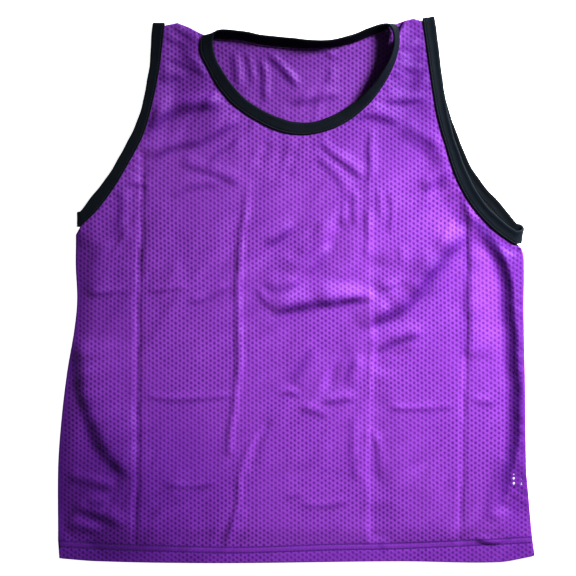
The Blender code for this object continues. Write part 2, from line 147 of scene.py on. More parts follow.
armholeTapeRight = {
    "front": (
        (146.0, 571.0, 133.5, 569.0, 0.0, 0.0),
        (149.0, 549.0, 136.5, 549.0, 0.0, 0.0),
        (152.5, 521.0, 140.5, 521.0, 0.0, 0.0),
        (155.0, 502.0, 143.5, 500.0, 0.0, 0.0),
        (159.5, 474.0, 148.5, 471.0, 0.5, 0.0),
        (167.5, 444.0, 157.0, 440.0, 1.5, 0.5),
        (179.5, 410.5, 168.5, 405.0, 2.0, 1.0),
        (191.5, 388.0, 181.0, 381.0, 2.5, 1.0),
        (204.0, 371.5, 194.5, 363.5, 3.0, 1.5),
        (218.0, 358.0, 209.5, 348.5, 3.5, 2.0),
        (231.0, 348.5, 228.5, 335.0, 4.0, 2.5),
    ),
    "back": (
        (232.5, 357.0, 229.5, 338.5, 0.0, 0.0),
        (216.0, 377.0, 207.0, 368.0, 0.0, 0.0),
        (201.5, 392.0, 192.0, 384.0, 0.0, 0.0),
        (185.5, 415.0, 174.5, 408.5, 0.0, 0.0),
        (174.0, 440.0, 162.5, 435.0, 0.0, 0.0),
        (164.5, 465.0, 152.5, 461.0, 0.0, 0.0),
        (157.5, 490.5, 145.0, 487.5, 0.0, 0.0),
        (153.5, 515.5, 141.0, 514.5, 0.0, 0.0),
        (149.5, 546.0, 137.0, 545.0, 0.0, 0.0),
        (146.0, 571.0, 133.5, 569.0, 0.0, 0.0),
    ),
    "turns": ((7.0, -0.5), (0.0, 2.0)),
    "hollow": 0.5,
    "flat": (0.027, 0.51),
}


def ease(value):
    value = np.clip(value, 0.0, 1.0)
    return value * value * (3.0 - 2.0 * value)


# 0 up to a start, and from there up to 1 over a reach
def onset(value, start, reach):
    return ease((value - start) / reach)


def unit(vectors):
    return vectors / (np.linalg.norm(vectors, axis=-1, keepdims=True) + 1e-12)


# rows about this far apart on a smooth curve through the given ones, and where those come in it
def smoothRows(rows, step, closed=False):
    rows = np.array(rows, float)
    count = len(rows)
    spot = [0, 1, 4] if rows.shape[1] > 4 else [0, 1]

    def pick(i):
        return rows[i % count] if closed else rows[min(max(i, 0), count - 1)]

    def gap(a, b):
        return np.linalg.norm(b[spot] - a[spot])

    result, places = [], []
    for i in range(count if closed else count - 1):
        before, start, end, after = (pick(i + k) for k in (-1, 0, 1, 2))
        run = gap(start, end)
        leave = (end - before) * run / (gap(before, start) + run)
        arrive = (after - start) * run / (run + gap(end, after))
        places.append(len(result))
        parts = max(1, round(run / step))
        for k in range(parts):
            t = k / parts
            rise = 3 * t**2 - 2 * t**3
            result.append(start + (end - start) * rise + leave * (t**3 - 2 * t**2 + t)
                          + arrive * (t**3 - t**2))
    if not closed:
        places.append(len(result))
        result.append(rows[-1])
    return np.array(result), places


# from points to a line: the distance, the line's own third value there, how far along it is,
# and 1 on the left of it or -1 on the right
def nearLine(x, y, line, reach=1e6):
    low, high = line[:, :2].min(0) - reach, line[:, :2].max(0) + reach
    near = np.flatnonzero((x > low[0]) & (x < high[0]) & (y > low[1]) & (y < high[1]))
    u, v = x[near], y[near]
    result = np.tile([[farOff], [0.0], [0.0], [1.0]], len(x))
    best = result[:, near]
    done = 0.0
    for a, b in zip(line[:-1], line[1:]):
        runX, runY = b[0] - a[0], b[1] - a[1]
        length = math.hypot(runX, runY) + 1e-9
        t = np.clip(((u - a[0]) * runX + (v - a[1]) * runY) / length**2, 0.0, 1.0)
        distance = np.hypot(u - a[0] - t * runX, v - a[1] - t * runY)
        side = np.where(runX * (v - a[1]) < runY * (u - a[0]), -1.0, 1.0)
        found = distance, a[2] + t * (b[2] - a[2]), done + t * length, side
        best = np.where(distance < best[0], found, best)
        done += length
    result[:, near] = best
    return result


def distanceTo(x, y, line, reach):
    return nearLine(x, y, line, reach)[0]


# a line with its third value set to 0
def flatLine(points):
    line = np.array(points, float)[:, :2]
    return np.column_stack([line, np.zeros(len(line))])


# waves along a line or round a band, in a form of their own for each seed
def waves(along, seed, table):
    return sum(height * np.sin(along / length + turns * seed) for length, turns, height in table)


# round a place, 1 in its middle and less further out
def patchOf(x, y, middleX, middleY, reachX, reachY):
    return np.exp(-(((x - middleX) / reachX)**2 + ((y - middleY) / reachY)**2))


def lifted(rows, level):
    return [(*row[:4], level + row[4], level + row[5]) for row in rows]


# rows on a half ellipse, where a band turns over from one side to the other
def turnRows(last, first, away):
    rows = []
    for k in range(1, tape["turnSteps"]):
        angle = math.pi * k / tape["turnSteps"]
        start, out = (1.0 + math.cos(angle)) / 2.0, math.sin(angle)
        row = [a * start + b * (1.0 - start) for a, b in zip(last, first)]
        for i in range(4):
            row[i] += away[i % 2] * out
        rows.append(row)
    return rows


def makeBand(front, firstTurn, back, secondTurn, hollow):
    allRows = list(front) + list(firstTurn) + list(back) + list(secondTurn)
    rows, places = smoothRows(allRows, tape["step"], closed=True)
    fold, sewn = rows[:, [0, 1, 4]], rows[:, [2, 3, 5]]
    along = np.roll(fold, -1, 0) - np.roll(fold, 1, 0)
    width = np.linalg.norm(sewn - fold, axis=1)
    across = unit(sewn - fold)
    out = unit(np.cross(across, along))
    backStart = len(front) + len(firstTurn)
    steps = np.linalg.norm(np.roll(fold, -1, 0) - fold, axis=1)
    return {
        "fold": fold, "across": across, "out": out, "width": width, "hollow": hollow,
        "arc": np.concatenate([[0.0], np.cumsum(steps)]),
        "front": np.arange(0, places[len(front) - 1] + 1),
        "back": np.arange(places[backStart], places[backStart + len(back) - 1] + 1),
    }


def bandPoint(band, i, across, out=0.0):
    across, out = np.asarray(across, float)[..., None], np.asarray(out, float)[..., None]
    return band["fold"][i] + band["across"][i] * across + band["out"][i] * out


neckBand = makeBand(lifted(neckTape["front"], tape["frontLevel"]), neckTape["cornerRight"],
                    lifted(neckTape["back"], tape["backLevel"]), neckTape["cornerLeft"],
                    neckTape["hollow"])


def armholeBand(spec, front, back):
    front, back = lifted(front, tape["frontLevel"]), lifted(back, tape["backLevel"])
    return makeBand(front, turnRows(front[-1], back[0], spec["turns"][0]), back,
                    turnRows(back[-1], front[0], spec["turns"][1]), spec["hollow"])


leftBand = armholeBand(armholeTapeLeft, armholeTapeLeft["rows"], armholeTapeLeft["rows"][::-1])
rightBand = armholeBand(armholeTapeRight, armholeTapeRight["front"], armholeTapeRight["back"])
allBands = (rightBand, neckBand, leftBand)


# half thickness of the folded tape at a distance from its fold
def tapeProfile(across, width, hollow):
    half, radius, leg, lip = (tape[k] for k in ("halfThickness", "foldRadius", "innerGap", "lip"))
    rounding = np.sqrt(np.clip(1.0 - (1.0 - across / radius)**2, 0.0, 1.0))
    thick = np.where(across < radius, half * rounding, half)
    middle = np.clip((across - radius) / (width - radius - tape["hollowEndsIn"]), 0.0, 1.0)
    thick = thick - hollow * np.sin(math.pi * middle)
    fromStitches = across - width + tape["stitchIn"]
    thick = thick - tape["stitchDip"] * np.exp(-(fromStitches / tape["stitchWidth"])**2)
    end = np.clip((across - width + lip) / lip, 0.0, 1.0)
    return leg + (thick - leg) * np.sqrt(1.0 - end**2)


# points round the tape's section: across from the fold, and out from its middle
def tapeOutline(width, hollow):
    fromFold, fromEdge = np.array(tape["nearFold"]), width - np.array(tape["nearEdge"])
    body = np.linspace(fromFold[-1], width - tape["bodyEndsIn"], 6)[1:]
    across = np.concatenate([fromFold, body, fromEdge])
    thick = tapeProfile(across, width, hollow)
    inside = np.array([width - tape["lip"], width * 0.5, tape["foldRadius"] * 0.6])
    leg = np.full(3, tape["innerGap"])
    a = np.concatenate([across[::-1], [0.0], across, inside, inside[::-1]])
    o = np.concatenate([-thick[::-1], [0.0], thick, leg, -leg])
    return a, o


def toWorld(points):
    return (np.asarray(points, float) + shift) * mm


# a mesh object from points in millimetres, faces and its maps
def makeMesh(name, points, faces, material, cut=None, bake=None, attributes=None):
    mesh = bpy.data.meshes.new(name)
    mesh.from_pydata(toWorld(points).tolist(), [], [tuple(int(i) for i in f) for f in faces])
    for mapName, values in (("OFBake", bake), ("flatCut", cut)):
        if values is not None:
            layer = mesh.uv_layers.new(name=mapName)
            corner = np.zeros(len(mesh.loops), np.int32)
            mesh.loops.foreach_get("vertex_index", corner)
            flat = values if len(values) == len(corner) else np.asarray(values)[corner]
            layer.data.foreach_set("uv", np.asarray(flat, np.float32).ravel())
    for key, values in (attributes or {}).items():
        layer = mesh.attributes.new(key, "FLOAT", "POINT")
        layer.data.foreach_set("value", np.asarray(values, np.float32))
    mesh.polygons.foreach_set("use_smooth", [True] * len(mesh.polygons))
    mesh.materials.append(material)
    mesh.validate()
    mesh.update()
    piece = bpy.data.objects.new(name, mesh)
    bpy.context.scene.collection.objects.link(piece)
    return piece


def sweepTape(name, band, material, seed):
    count, arc, total = len(band["fold"]), band["arc"], band["arc"][-1]
    turn = 2.0 * math.pi * arc[:-1] / total
    puff, drift = (sum(height * np.sin(beats * turn + turns * seed)
                       for beats, turns, height in tape[key]) for key in ("puffs", "drifts"))
    puff += 1.0
    rounds = []
    for i in range(count):
        a, o = tapeOutline(band["width"][i], band["hollow"] * puff[i])
        shy = np.clip(1.0 - a / band["width"][i], 0.0, 1.0)
        rounds.append(bandPoint(band, i, a + drift[i] * shy, o * puff[i]))
    size = len(rounds[0])
    points = np.concatenate(rounds)
    a, o = tapeOutline(float(np.median(band["width"])), 0.0)
    girth = np.concatenate([[0.0], np.cumsum(np.hypot(np.diff(a), np.diff(o)))])
    girth = np.append(girth, girth[-1] + 2 * tape["innerGap"])
    faces, cut, bake = [], [], []
    for i in range(count):
        k = (i + 1) % count
        for j in range(size):
            m = (j + 1) % size
            faces.append((i * size + j, k * size + j, k * size + m, i * size + m))
            for a, g in ((i, j), (i + 1, j), (i + 1, j + 1), (i, j + 1)):
                cut.append((arc[a] * mm, girth[g] * mm))
                bake.append((0.01 + 0.98 * arc[a] / total, 0.02 + 0.96 * girth[g] / girth[-1]))
    # the half round the back lies in the shade of the front
    shaded = np.zeros(count)
    shaded[band["back"]] = 1.0
    reach = tape["shadeSteps"]
    shaded = sum(np.roll(shaded, k) for k in range(-reach, reach + 1)) / (2 * reach + 1)
    return makeMesh(name, points, faces, material, np.array(cut), np.array(bake),
                    {"shadedHalf": np.repeat(shaded, size)})


# edges of the panels that no tape binds
plainEdges = {
    "hem": ((-248.0, 5.0), (-207.5, 2.0), (-81.5, 0.0), (107.5, 2.0), (212.5, 1.0), (251.0, 7.5)),
    "sideRight": ((249.0, 24.0), (244.5, 72.0), (242.0, 100.0), (240.5, 190.0), (239.0, 263.5),
                  (239.0, 322.0), (236.5, 330.5)),
    "sideLeft": ((-230.5, 344.5), (-231.0, 314.0), (-229.5, 276.0), (-232.5, 244.5),
                 (-240.0, 200.5), (-246.0, 150.0), (-249.5, 100.0), (-249.5, 24.0)),
    "shoulderRight": ((124.0, 571.5), (115.0, 569.5)),
    "shoulderLeft": ((-112.0, 562.5), (-124.0, 567.0)),
    "frontCornerRight": ((110.5, 562.0),),
    "frontCornerLeft": ((-103.5, 557.5),),
    "backCornerRight": ((107.0, 567.0), (98.0, 563.5)),
    "backCornerLeft": ((-90.0, 552.0), (-101.0, 557.0)),
}

hem = {
    "upperStitch": ((-249.0, 22.5), (-207.0, 20.3), (-140.0, 17.8), (-63.0, 16.0), (36.0, 19.0),
                    (110.0, 20.5), (180.0, 23.5), (212.0, 25.0), (251.0, 27.0)),
    "lowerStitchDown": 5.8,     # the second row of stitches lies this far below the first
    "extraThickness": 0.6,      # of the turned-up part
    "turnStep": 1.6,            # over which it begins
    "rimBulge": 0.45,
    "stitchDip": 0.45,
    "stitchWidth": 0.7,
    "stitchReach": 4.0,
    "stitchRun": (-246.0, 246.5, 1.5),      # from, to and step
    "plainPast": 1.2,           # no holes between the rows of stitches and this far past them
    "riseFrom": 9.0,            # the cloth rises from here
    "reach": 30.0,              # and over this much
    "clearance": 18.0,          # the front stays raised this much past the back's hem
}

backCloth = {
    "level": 0.3,
    "wall": 0.5,
    "pitch": 3.1,
    # the same sizes as the front's slack folds
    "slack": (
        (6, 6, 1.2, (-66, 540), (-65, 518), (-60, 492)),
        (5, 5, 0.9, (-52, 539), (-50, 522), (-46, 499)),
        (5, 6, 1.5, (-39, 534), (-35, 509), (-35, 480)),
        (6, 8, 1.6, (-32, 537), (-15, 518), (3, 496)),
        (7, 12, 1.0, (-13, 483), (17, 486), (51, 492)),
        (5, 8, 0.6, (24, 545), (32, 537), (43, 526)),
        (6, 9, 0.6, (37, 526), (34, 513), (28, 503)),
    ),
    "deeper": (),
    # half width, then x, y and height of points along each line
    "pressed": (
        (8, (-162, 400, 0.0), (-165, 230, 0.9), (-168, 40, 0.6)),
        (8, (-54, 420, 0.2), (-60, 276, 0.9), (-66, 60, 0.6)),
        (8, (80, 440, 0.3), (78, 320, 0.9), (74, 40, 0.6)),
        (8, (177, 380, 0.2), (180, 240, 0.9), (172, 40, 0.6)),
    ),
    "undulation": 0.12,
    "swell": (0.5, 0.3),        # how high it lies, and how much it swells
    "inNeck": (455.0, 20.0),    # it is less pressed above this level
    "pressedShare": 0.4,        # and this much of that below it
    "flat": (0.505, 0.605),
    "area": 0.243,
}

frontCloth = {
    "level": 1.8,
    "wall": 0.5,
    "loft": 2.2,
    "pitch": 2.8,
    "leftReach": 20.0,
    "rightReach": 34.0,
    "bandReach": 24.0,
    "undulation": 0.3,
    "onChest": (25.0, 325.0, 105.0, 110.0),     # where it undulates most: middle, reach each way
    "evenShare": 0.12,                          # and its share of that everywhere
    "gathers": 0.45,
    "leastFold": 0.5,           # share of their height that folds keep at the edges
    "tapeSearch": 10.0,
    "tapeHolds": 8.0,           # no room is made this near a tape
    # broad swells and hollows: middle, reach each way, height
    "swells": (
        (-86, 500, 26, 44, 1.6), (-138, 490, 24, 60, -1.4),     # the left strap leans outwards
        (-165, 70, 46, 70, 4.0), (-232, 50, 26, 50, -1.2),      # and so does the low left corner
    ),
    "flat": (0.505, 0.585),
    "area": 0.232,
    # folds of the pack it was kept in: half width, then x, y and height along each line
    "pressed": (
        (7, (-160, 436, 0.0), (-160, 424, -0.9), (-163, 329, -1.2), (-166, 229, -1.2),
         (-166, 119, -1.3), (-169, 23, -0.9)),
        (8, (-49, 398, 0.2), (-53, 370, 1.1), (-57, 344, 1.3), (-60, 276, 1.4), (-60, 203, 1.5),
         (-70, 117, 0.7)),
        (7, (-43, 133, 0.3), (-58, 100, 1.1), (-60, 66, 1.1), (-71, 23, 0.7)),
        (7, (80, 455, 0.1), (78, 420, 0.4), (77, 360, 0.4), (77, 300, 0.2), (79, 230, 0.5),
         (77, 160, 0.6), (74, 100, 0.6), (77, 20, 0.5)),
        (7, (176, 394, -0.9), (180, 329, -1.1), (180, 260, -1.1), (179, 229, -1.1),
         (176, 129, -1.1), (172, 7, -0.9)),
    ),
    # painted shade in patches where the cloth lies in shade: middle, reach each way, depth
    "deeper": (
        (-222, 60, 50, 95, 0.9), (-150, 85, 60, 80, 0.65), (-105, 525, 40, 50, 0.4),
        (-160, 8, 90, 22, 0.4), (-100, 70, 60, 70, 0.15),
        (128, 516, 32, 60, 0.9), (232, 58, 17, 48, 0.4), (-196, 300, 34, 90, 0.25),
        (105, 445, 60, 28, 0.25), (146, 300, 20, 34, 0.35),
    ),
    # folds where the cloth is slack: width of the steep side, of the gentle side, height, and
    # points along it; seen from its start it falls steeply to the right and gently to the left
    "slack": (
        (7, 14, 1.2, (-145, 503), (-131, 510), (-113, 507)),
        (7, 12, 0.8, (-151, 522), (-144, 526), (-136, 528)),
        (5, 10, 1.0, (-135, 530), (-111, 520), (-88, 508)),
        (5, 10, 1.1, (-130, 562), (-117, 556), (-104, 546)),
        (5, 9, 0.9, (-142, 549), (-128, 547), (-108, 541)),
        (5, 9, 0.7, (-125, 537), (-107, 526), (-91, 513)),
        (12, 14, 2.5, (-164, 446), (-136, 469), (-112, 477), (-92, 480), (-72, 477)),
        (7, 16, 1.4, (-155, 422), (-130, 435), (-100, 442), (-73, 455), (-56, 464)),
        (5, 12, 0.9, (-55, 453), (-62, 443), (-77, 432), (-96, 419)),
        (7, 14, 0.8, (-123, 421), (-100, 413), (-75, 404), (-55, 393)),
        (7, 13, 0.7, (-130, 380), (-115, 392), (-94, 396), (-76, 395)),
        (8, 12, 0.8, (-187, 400), (-184, 377), (-187, 354), (-183, 331)),
        (5, 9, 0.7, (-183, 398), (-167, 396), (-151, 395)),
        (7, 8, -0.8, (-28, 445), (-35, 432), (-44, 415)),
        (7, 8, -0.8, (-11, 444), (-20, 423), (-30, 402)),
        (7, 8, -0.7, (1, 439), (-7, 422), (-15, 401)),
        (7, 18, 1.4, (45, 464), (70, 468), (95, 465), (114, 458)),
        (8, 16, 0.8, (110, 460), (133, 447), (153, 432)),
        (11, 16, 0.5, (106, 455), (131, 439), (152, 421), (164, 405)),
        (5, 12, 1.2, (87, 485), (112, 484), (140, 487)),
        (7, 10, 0.6, (108, 522), (120, 518), (135, 514)),
        (5, 9, 0.7, (129, 555), (120, 547), (113, 543)),
        (5, 12, 1.0, (22, 445), (37, 430), (53, 417), (74, 399)),
        (5, 8, 0.8, (79, 457), (76, 434), (79, 411), (74, 398)),
        (7, 12, 0.6, (18, 429), (36, 413), (47, 396), (52, 374)),
        (5, 7, 0.6, (60, 395), (59, 375), (61, 350)),
        (5, 7, 0.7, (72, 375), (73, 348), (71, 316)),
        (4, 6, 0.5, (85, 396), (85, 377), (87, 358)),
        (4, 6, 0.5, (97, 392), (99, 366), (97, 343)),
        (4, 6, 0.5, (47, 385), (48, 366), (45, 350)),
        (13, 20, -0.35, (174, 398), (170, 384), (164, 368), (157, 352), (150, 336), (146, 318)),
        (11, 14, 1.0, (129, 390), (150, 399), (169, 408)),
        (7, 12, 1.3, (-33, 331), (-16, 341), (0, 358)),
        (8, 12, -1.2, (22, 364), (6, 342), (-12, 320)),
        (8, 12, -0.9, (46, 366), (36, 348), (26, 326)),
        (8, 14, 1.0, (12, 300), (28, 318), (40, 340)),
        (6, 10, 0.8, (-5, 300), (8, 316), (20, 336)),
        (9, 24, 2.7, (-27, 258), (-10, 266), (12, 270), (40, 273), (78, 276)),
        (7, 12, 0.9, (56, 275), (72, 275), (88, 273)),
        (5, 12, 0.5, (-43, 293), (-32, 272), (-17, 262)),
        (8, 14, 0.8, (-39, 295), (-20, 287), (-4, 291), (7, 301)),
        (13, 28, 3.0, (64, 243), (97, 259), (114, 269), (132, 285), (142, 302), (153, 317),
         (166, 331), (184, 349)),
        (7, 10, -0.6, (111, 290), (101, 280), (88, 270)),
        (5, 10, 0.6, (87, 283), (100, 289), (113, 295)),
        (8, 18, 1.8, (79, 216), (98, 229), (116, 236), (138, 243)),
        (7, 9, -0.5, (100, 209), (112, 217), (124, 224)),
        (7, 12, 1.3, (65, 222), (58, 205), (50, 185)),
        (8, 12, -1.2, (53, 231), (37, 205), (25, 181)),
        (11, 16, 0.9, (22, 230), (7, 207), (-8, 184)),
        (5, 10, 0.7, (-17, 172), (-7, 178), (7, 173)),
        (5, 10, 0.8, (24, 167), (47, 169), (67, 172)),
        (5, 8, 0.4, (106, 336), (108, 324), (107, 314)),
        (14, 50, 2.6, (-235, 240), (-230, 205), (-224, 175), (-214, 143), (-198, 112), (-174, 84)),
        (7, 12, 0.8, (-245, 89), (-218, 84), (-188, 76)),
        (8, 14, 1.3, (-237, 58), (-209, 50), (-178, 34)),
        (7, 10, 0.8, (-243, 35), (-226, 37), (-201, 28)),
        (7, 10, 0.7, (-222, 63), (-207, 63), (-195, 58)),
        (4, 8, 0.5, (-220, 281), (-193, 283), (-170, 283)),
        (4, 8, 0.5, (-157, 283), (-136, 286), (-111, 288)),
        (5, 9, 0.7, (-115, 272), (-90, 278), (-65, 292)),
        (4, 8, 0.5, (-159, 172), (-111, 171), (-65, 174)),
        (4, 7, 0.4, (-144, 80), (-113, 80), (-79, 82)),
        (5, 9, -0.8, (-27, 155), (-44, 122), (-54, 93)),
        (5, 9, 0.6, (-55, 60), (-64, 43), (-71, 27)),
        (16, 16, 0.6, (-207, 343), (-214, 308), (-218, 276)),
        (12, 36, -1.1, (80, 325), (79, 285), (80, 255), (81, 225), (79, 190)),
        (11, 30, -1.3, (79, 200), (76, 165), (73, 130), (73, 95), (75, 60)),
        (9, 30, -1.2, (76, 72), (76, 42), (77, 8)),
        (4, 8, 0.5, (95, 162), (131, 161), (169, 163)),
        (6, 34, 1.3, (172, 402), (176, 365), (179, 329), (179, 290), (178, 250), (177, 210)),
        (5, 8, 0.5, (183, 169), (200, 167), (215, 168)),
        (5, 10, 0.7, (1, 163), (19, 159), (37, 149)),
        (5, 9, 0.5, (3, 60), (28, 59), (59, 62)),
        (5, 9, 0.5, (-10, 66), (1, 70), (9, 70)),
        (7, 9, 0.5, (61, 159), (57, 123), (61, 81)),
        (5, 8, 0.5, (79, 142), (85, 114), (88, 83)),
        (12, 16, 0.7, (218, 117), (208, 83), (200, 41)),
        (5, 9, 1.1, (187, 23), (204, 19), (223, 21)),
        (5, 9, 0.7, (85, 24), (91, 16), (95, 5)),
    ),
}

# beside the right seam a fold stands up below the gaping armhole and sinks to the table further
# down: points of its edge, and its height at each
rightFold = {
    "edge": ((213, 50, 0.4), (222, 76, 2.4), (230.5, 108, 4.2), (235.7, 150, 5.4),
             (234.6, 192, 6.0), (231.5, 234, 6.6), (227.3, 287, 7.2), (221, 316, 7.4),
             (212.6, 334, 7.0), (202, 348, 6.2), (190, 362, 5.0)),
    "topEnd": (366.0, 16.0),    # it ends below this level, over this much
    "wander": (0.7, 9.0),
    "slant": 0.9,
    "climb": 12.0,
    "bend": 1.5,
    "outwardFall": 0.02,
    "startsAt": (0.2, 1.2),     # the strip right of it starts where the fold is this high
    "fromTape": 14.0,
    "crumple": 0.3,             # of that strip, below the next level
    "crumpleBelow": (300.0, 30.0),
    "crumpleBeats": (3.1, 11.0, 3.0),       # lengths of its waves: along, their sway, across
    "overBack": 1.3,
    "shadeReach": 17.0,         # painted shade beside the fold, where its shadow falls, and on the strip past it
    "shadeTone": 1.5,
    "stripTone": 0.6,
    "shadeEnds": 2.0,
    "shadeFull": 4.0,           # height of the fold that gives the full shade
    "backReach": 9.0,
    "backShare": 0.85,
}

careLabel = {
    "middle": (234.0, 87.0),
    "size": (13.0, 14.0),
    "level": 1.15,
    "wall": 0.22,
    "halfGap": 0.3,
    "rows": 9,
    "room": 1.9,                # that the front leaves it
    "reach": 38.0,
    "seenWithin": 8.0,          # where the stretched holes show it
    "middleHidden": 2.0,
    "blur": 1.5,
    "flat": (0.014, 0.026),
}


def edgeLine(name, step=3.0):
    return flatLine(smoothRows(plainEdges[name], step)[0])


sideLeftLine, sideRightLine = edgeLine("sideLeft", 6.0), edgeLine("sideRight", 6.0)
sideSearch = 60.0               # distances from the side seams are exact up to this
upperStitchLine = flatLine(smoothRows(hem["upperStitch"], 6.0)[0])
lowerStitchLine = upperStitchLine - (0.0, hem["lowerStitchDown"], 0.0)


def fromSides(x, y):
    return [distanceTo(x, y, line, sideSearch) for line in (sideLeftLine, sideRightLine)]


# lines past the sewn edges, where the cloth comes out of the tape, thinned for distances
def tapeLines(side):
    lines = []
    for band in allBands:
        i = band[side]
        points = bandPoint(band, i, band["width"][i] + tape["straightPast"])
        keep = np.unique(np.append(np.arange(0, len(i), 3), len(i) - 1))
        lines.append(points[keep])
    return lines


frontTapeLines, backTapeLines = tapeLines("front"), tapeLines("back")


folding = {
    "slackHeight": 1.2, "fade": 8.0, "fadeByHeight": 7.0, "longestFade": 0.36,
    # sizes of the painted shade on the sides of folds and the painted light in troughs
    "deepFold": 3.6, "deepen": 0.7, "paleTrough": 0.7,
    "shadeWidth": 0.55, "shadeLimits": (-0.6, 1.2),
    "pressedWidth": 0.85, "pressedHeight": 1.5,
    "widest": 1.2,              # the most that a slack fold spreads
    "fromTape": 7.0,            # folds run out this near a tape
    # waves along a fold: their length, how far the fold's number moves them, height
    "slackUneven": ((9.0, 1, 0.16), (4.1, 2, 0.1)),
    "slackSpread": ((13.0, 3, 0.2),),
    "pressedUneven": ((14.0, 1, 0.16), (6.1, 2, 0.12)),
}
gathering = {
    "reach": 34.0, "beat": 1.9, "start": 3.5, "fall": 9.0, "share": 0.6,
    "uneven": ((23.0, 2, 0.4),), "drift": ((17.0, 1, 1.7), (6.7, 0, 1.1)),
}

# each fold wanders a little, so none is ruler straight: a sway with its length and start, and a
# finer wobble with its two lengths
wandering = {"sideways": (1.1, 21.0, 0.4, 0.7, 8.3, 31.0),
             "lengthways": (1.0, 19.0, 1.1, 0.6, 7.7, -27.0)}


def sway(along, across, way):
    broad, length, start, fine, beat, drift = wandering[way]
    return broad * np.sin(along / length + start) + fine * np.sin(along / beat + across / drift)


def wander(x, y):
    return x + sway(y, x, "sideways"), y + sway(x, y, "lengthways")


# where points are by a slack fold: distance along it, signed distance from it (more on its high
# side), and 0 to 1 for how far it has grown from its ends
def besideFold(x, y, steep, gentle, height, points):
    line, _ = smoothRows([(*p, 0.0) for p in points], 4.0)
    away, _, along, side = nearLine(x, y, line, (steep + gentle) * folding["widest"])
    length = np.hypot(*np.diff(line[:, :2], axis=0).T).sum()
    fade = min(folding["fade"] + folding["fadeByHeight"] * abs(height),
               length * folding["longestFade"])
    return along, away * side, ease(along / fade) * ease((length - along) / fade)


def slackFolds(x, y, rows):
    total = np.zeros(x.shape)
    for n, (steep, gentle, height, *points) in enumerate(rows):
        along, signed, ends = besideFold(x, y, steep, gentle, height, points)
        uneven, spread = (1.0 + waves(along, n, folding[key]) for key in
                          ("slackUneven", "slackSpread"))
        rise = ease(signed / (steep * spread) + 0.5)
        fall = 1.0 - ease((signed - steep / 2) / (gentle * spread))
        total += height * folding["slackHeight"] * uneven * ends * rise * fall
    return total


# painted shade down the steep side of a slack fold, where it turns from the light, and painted
# light along a trough
def paintedFoldShading(x, y, rows):
    total = np.zeros(x.shape)
    for steep, gentle, height, *points in rows:
        _, signed, ends = besideFold(x, y, steep, gentle, height, points)
        share = (abs(height) / folding["deepFold"])**folding["deepen"]
        share *= 1.0 if height > 0.0 else -folding["paleTrough"]
        total += ends * share * np.exp(-(signed / (steep * folding["shadeWidth"]))**2)
    return np.clip(total, *folding["shadeLimits"])


# a pressed fold keeps a sharp crest
def pressedFolds(x, y, rows):
    total = np.zeros(x.shape)
    for n, row in enumerate(rows):
        line, _ = smoothRows(row[1:], 8.0)
        away, height, along, _ = nearLine(x, y, line, row[0])
        uneven = 1.0 + waves(along, n, folding["pressedUneven"])
        share = np.clip(1.0 - away / (row[0] * folding["pressedWidth"]), 0.0, 1.0)
        total += height * folding["pressedHeight"] * uneven * share * share
    return total


# seven long waves across the cloth, with the middle and the spread of each one's tilt in half
# turns, its length, where it starts, and its height
swelling = ((0.76, 0.12), (38.0, 14.0), (0.0, 6.0), (1.0, 0.5))
swellDraws = np.random.RandomState(11).uniform(-1.0, 1.0, (7, 4))


def undulations(x, y):
    total = np.zeros(x.shape)
    for draws in swellDraws:
        tilt, length, start, height = (middle + spread * draw
                                       for (middle, spread), draw in zip(swelling, draws))
        across = x * math.cos(math.pi * tilt) + y * math.sin(math.pi * tilt)
        total += height * np.sin(2 * math.pi * across / length + start)
    return total


# small ripples where the stretched tape gathers the cloth
def gathers(x, y, lines, height):
    total = np.zeros(x.shape)
    for n, line in enumerate(lines):
        away, _, along, _ = nearLine(x, y, line, gathering["reach"])
        beat = along / gathering["beat"] + waves(along, n, gathering["drift"])
        strength = gathering["share"] + waves(along, n, gathering["uneven"])
        total += (height * strength * np.sin(beat) * ease(away / gathering["start"])
                  * np.exp(-away / gathering["fall"]))
    return total


foldEdge = np.array(rightFold["edge"], float).T


def foldRise(y):
    return np.interp(y, foldEdge[1], foldEdge[2])


# how far points lie to the right of the raised fold
def pastFold(x, y):
    height, length = rightFold["wander"]
    edge = np.interp(y, foldEdge[1], foldEdge[0]) + height * np.sin(y / length)
    return (x - edge) * rightFold["slant"]


# 1 on the raised fold and 0 above its upper end
def belowFoldTop(y):
    level, reach = rightFold["topEnd"]
    return ease((level - y) / reach)


# the cloth's height, brought to the height of the tapes beside them, with its folds
def toTapes(x, y, height, folds, lines, reach):
    keep = np.ones(x.shape)
    for line in lines:
        away, level, _, _ = nearLine(x, y, line, reach)
        close = 1.0 - ease(away / reach)
        height = height + (level - height) * close
        keep = keep * ease(away / folding["fromTape"])
    return height + folds * keep


def backHeight(x, y):
    flat = np.full(x.shape, backCloth["level"])
    u, v = wander(x, y)
    folds = slackFolds(u, v, backCloth["slack"]) + pressedFolds(u, v, backCloth["pressed"])
    loose = backCloth["pressedShare"] + onset(y, *backCloth["inNeck"])
    middle, spread = backCloth["swell"]
    folds = folds + backCloth["undulation"] * (middle + undulations(x, y) * spread) * loose
    height = np.maximum(flat, toTapes(x, y, flat, np.maximum(folds, 0.0), backTapeLines,
                                      frontCloth["bandReach"]))
    fromRight = fromSides(x, y)[1]
    atSeam = 1.0 - ease(fromRight / rightFold["backReach"])
    raised = foldRise(y) * rightFold["backShare"] * atSeam
    return np.maximum(height, backCloth["level"] + raised)


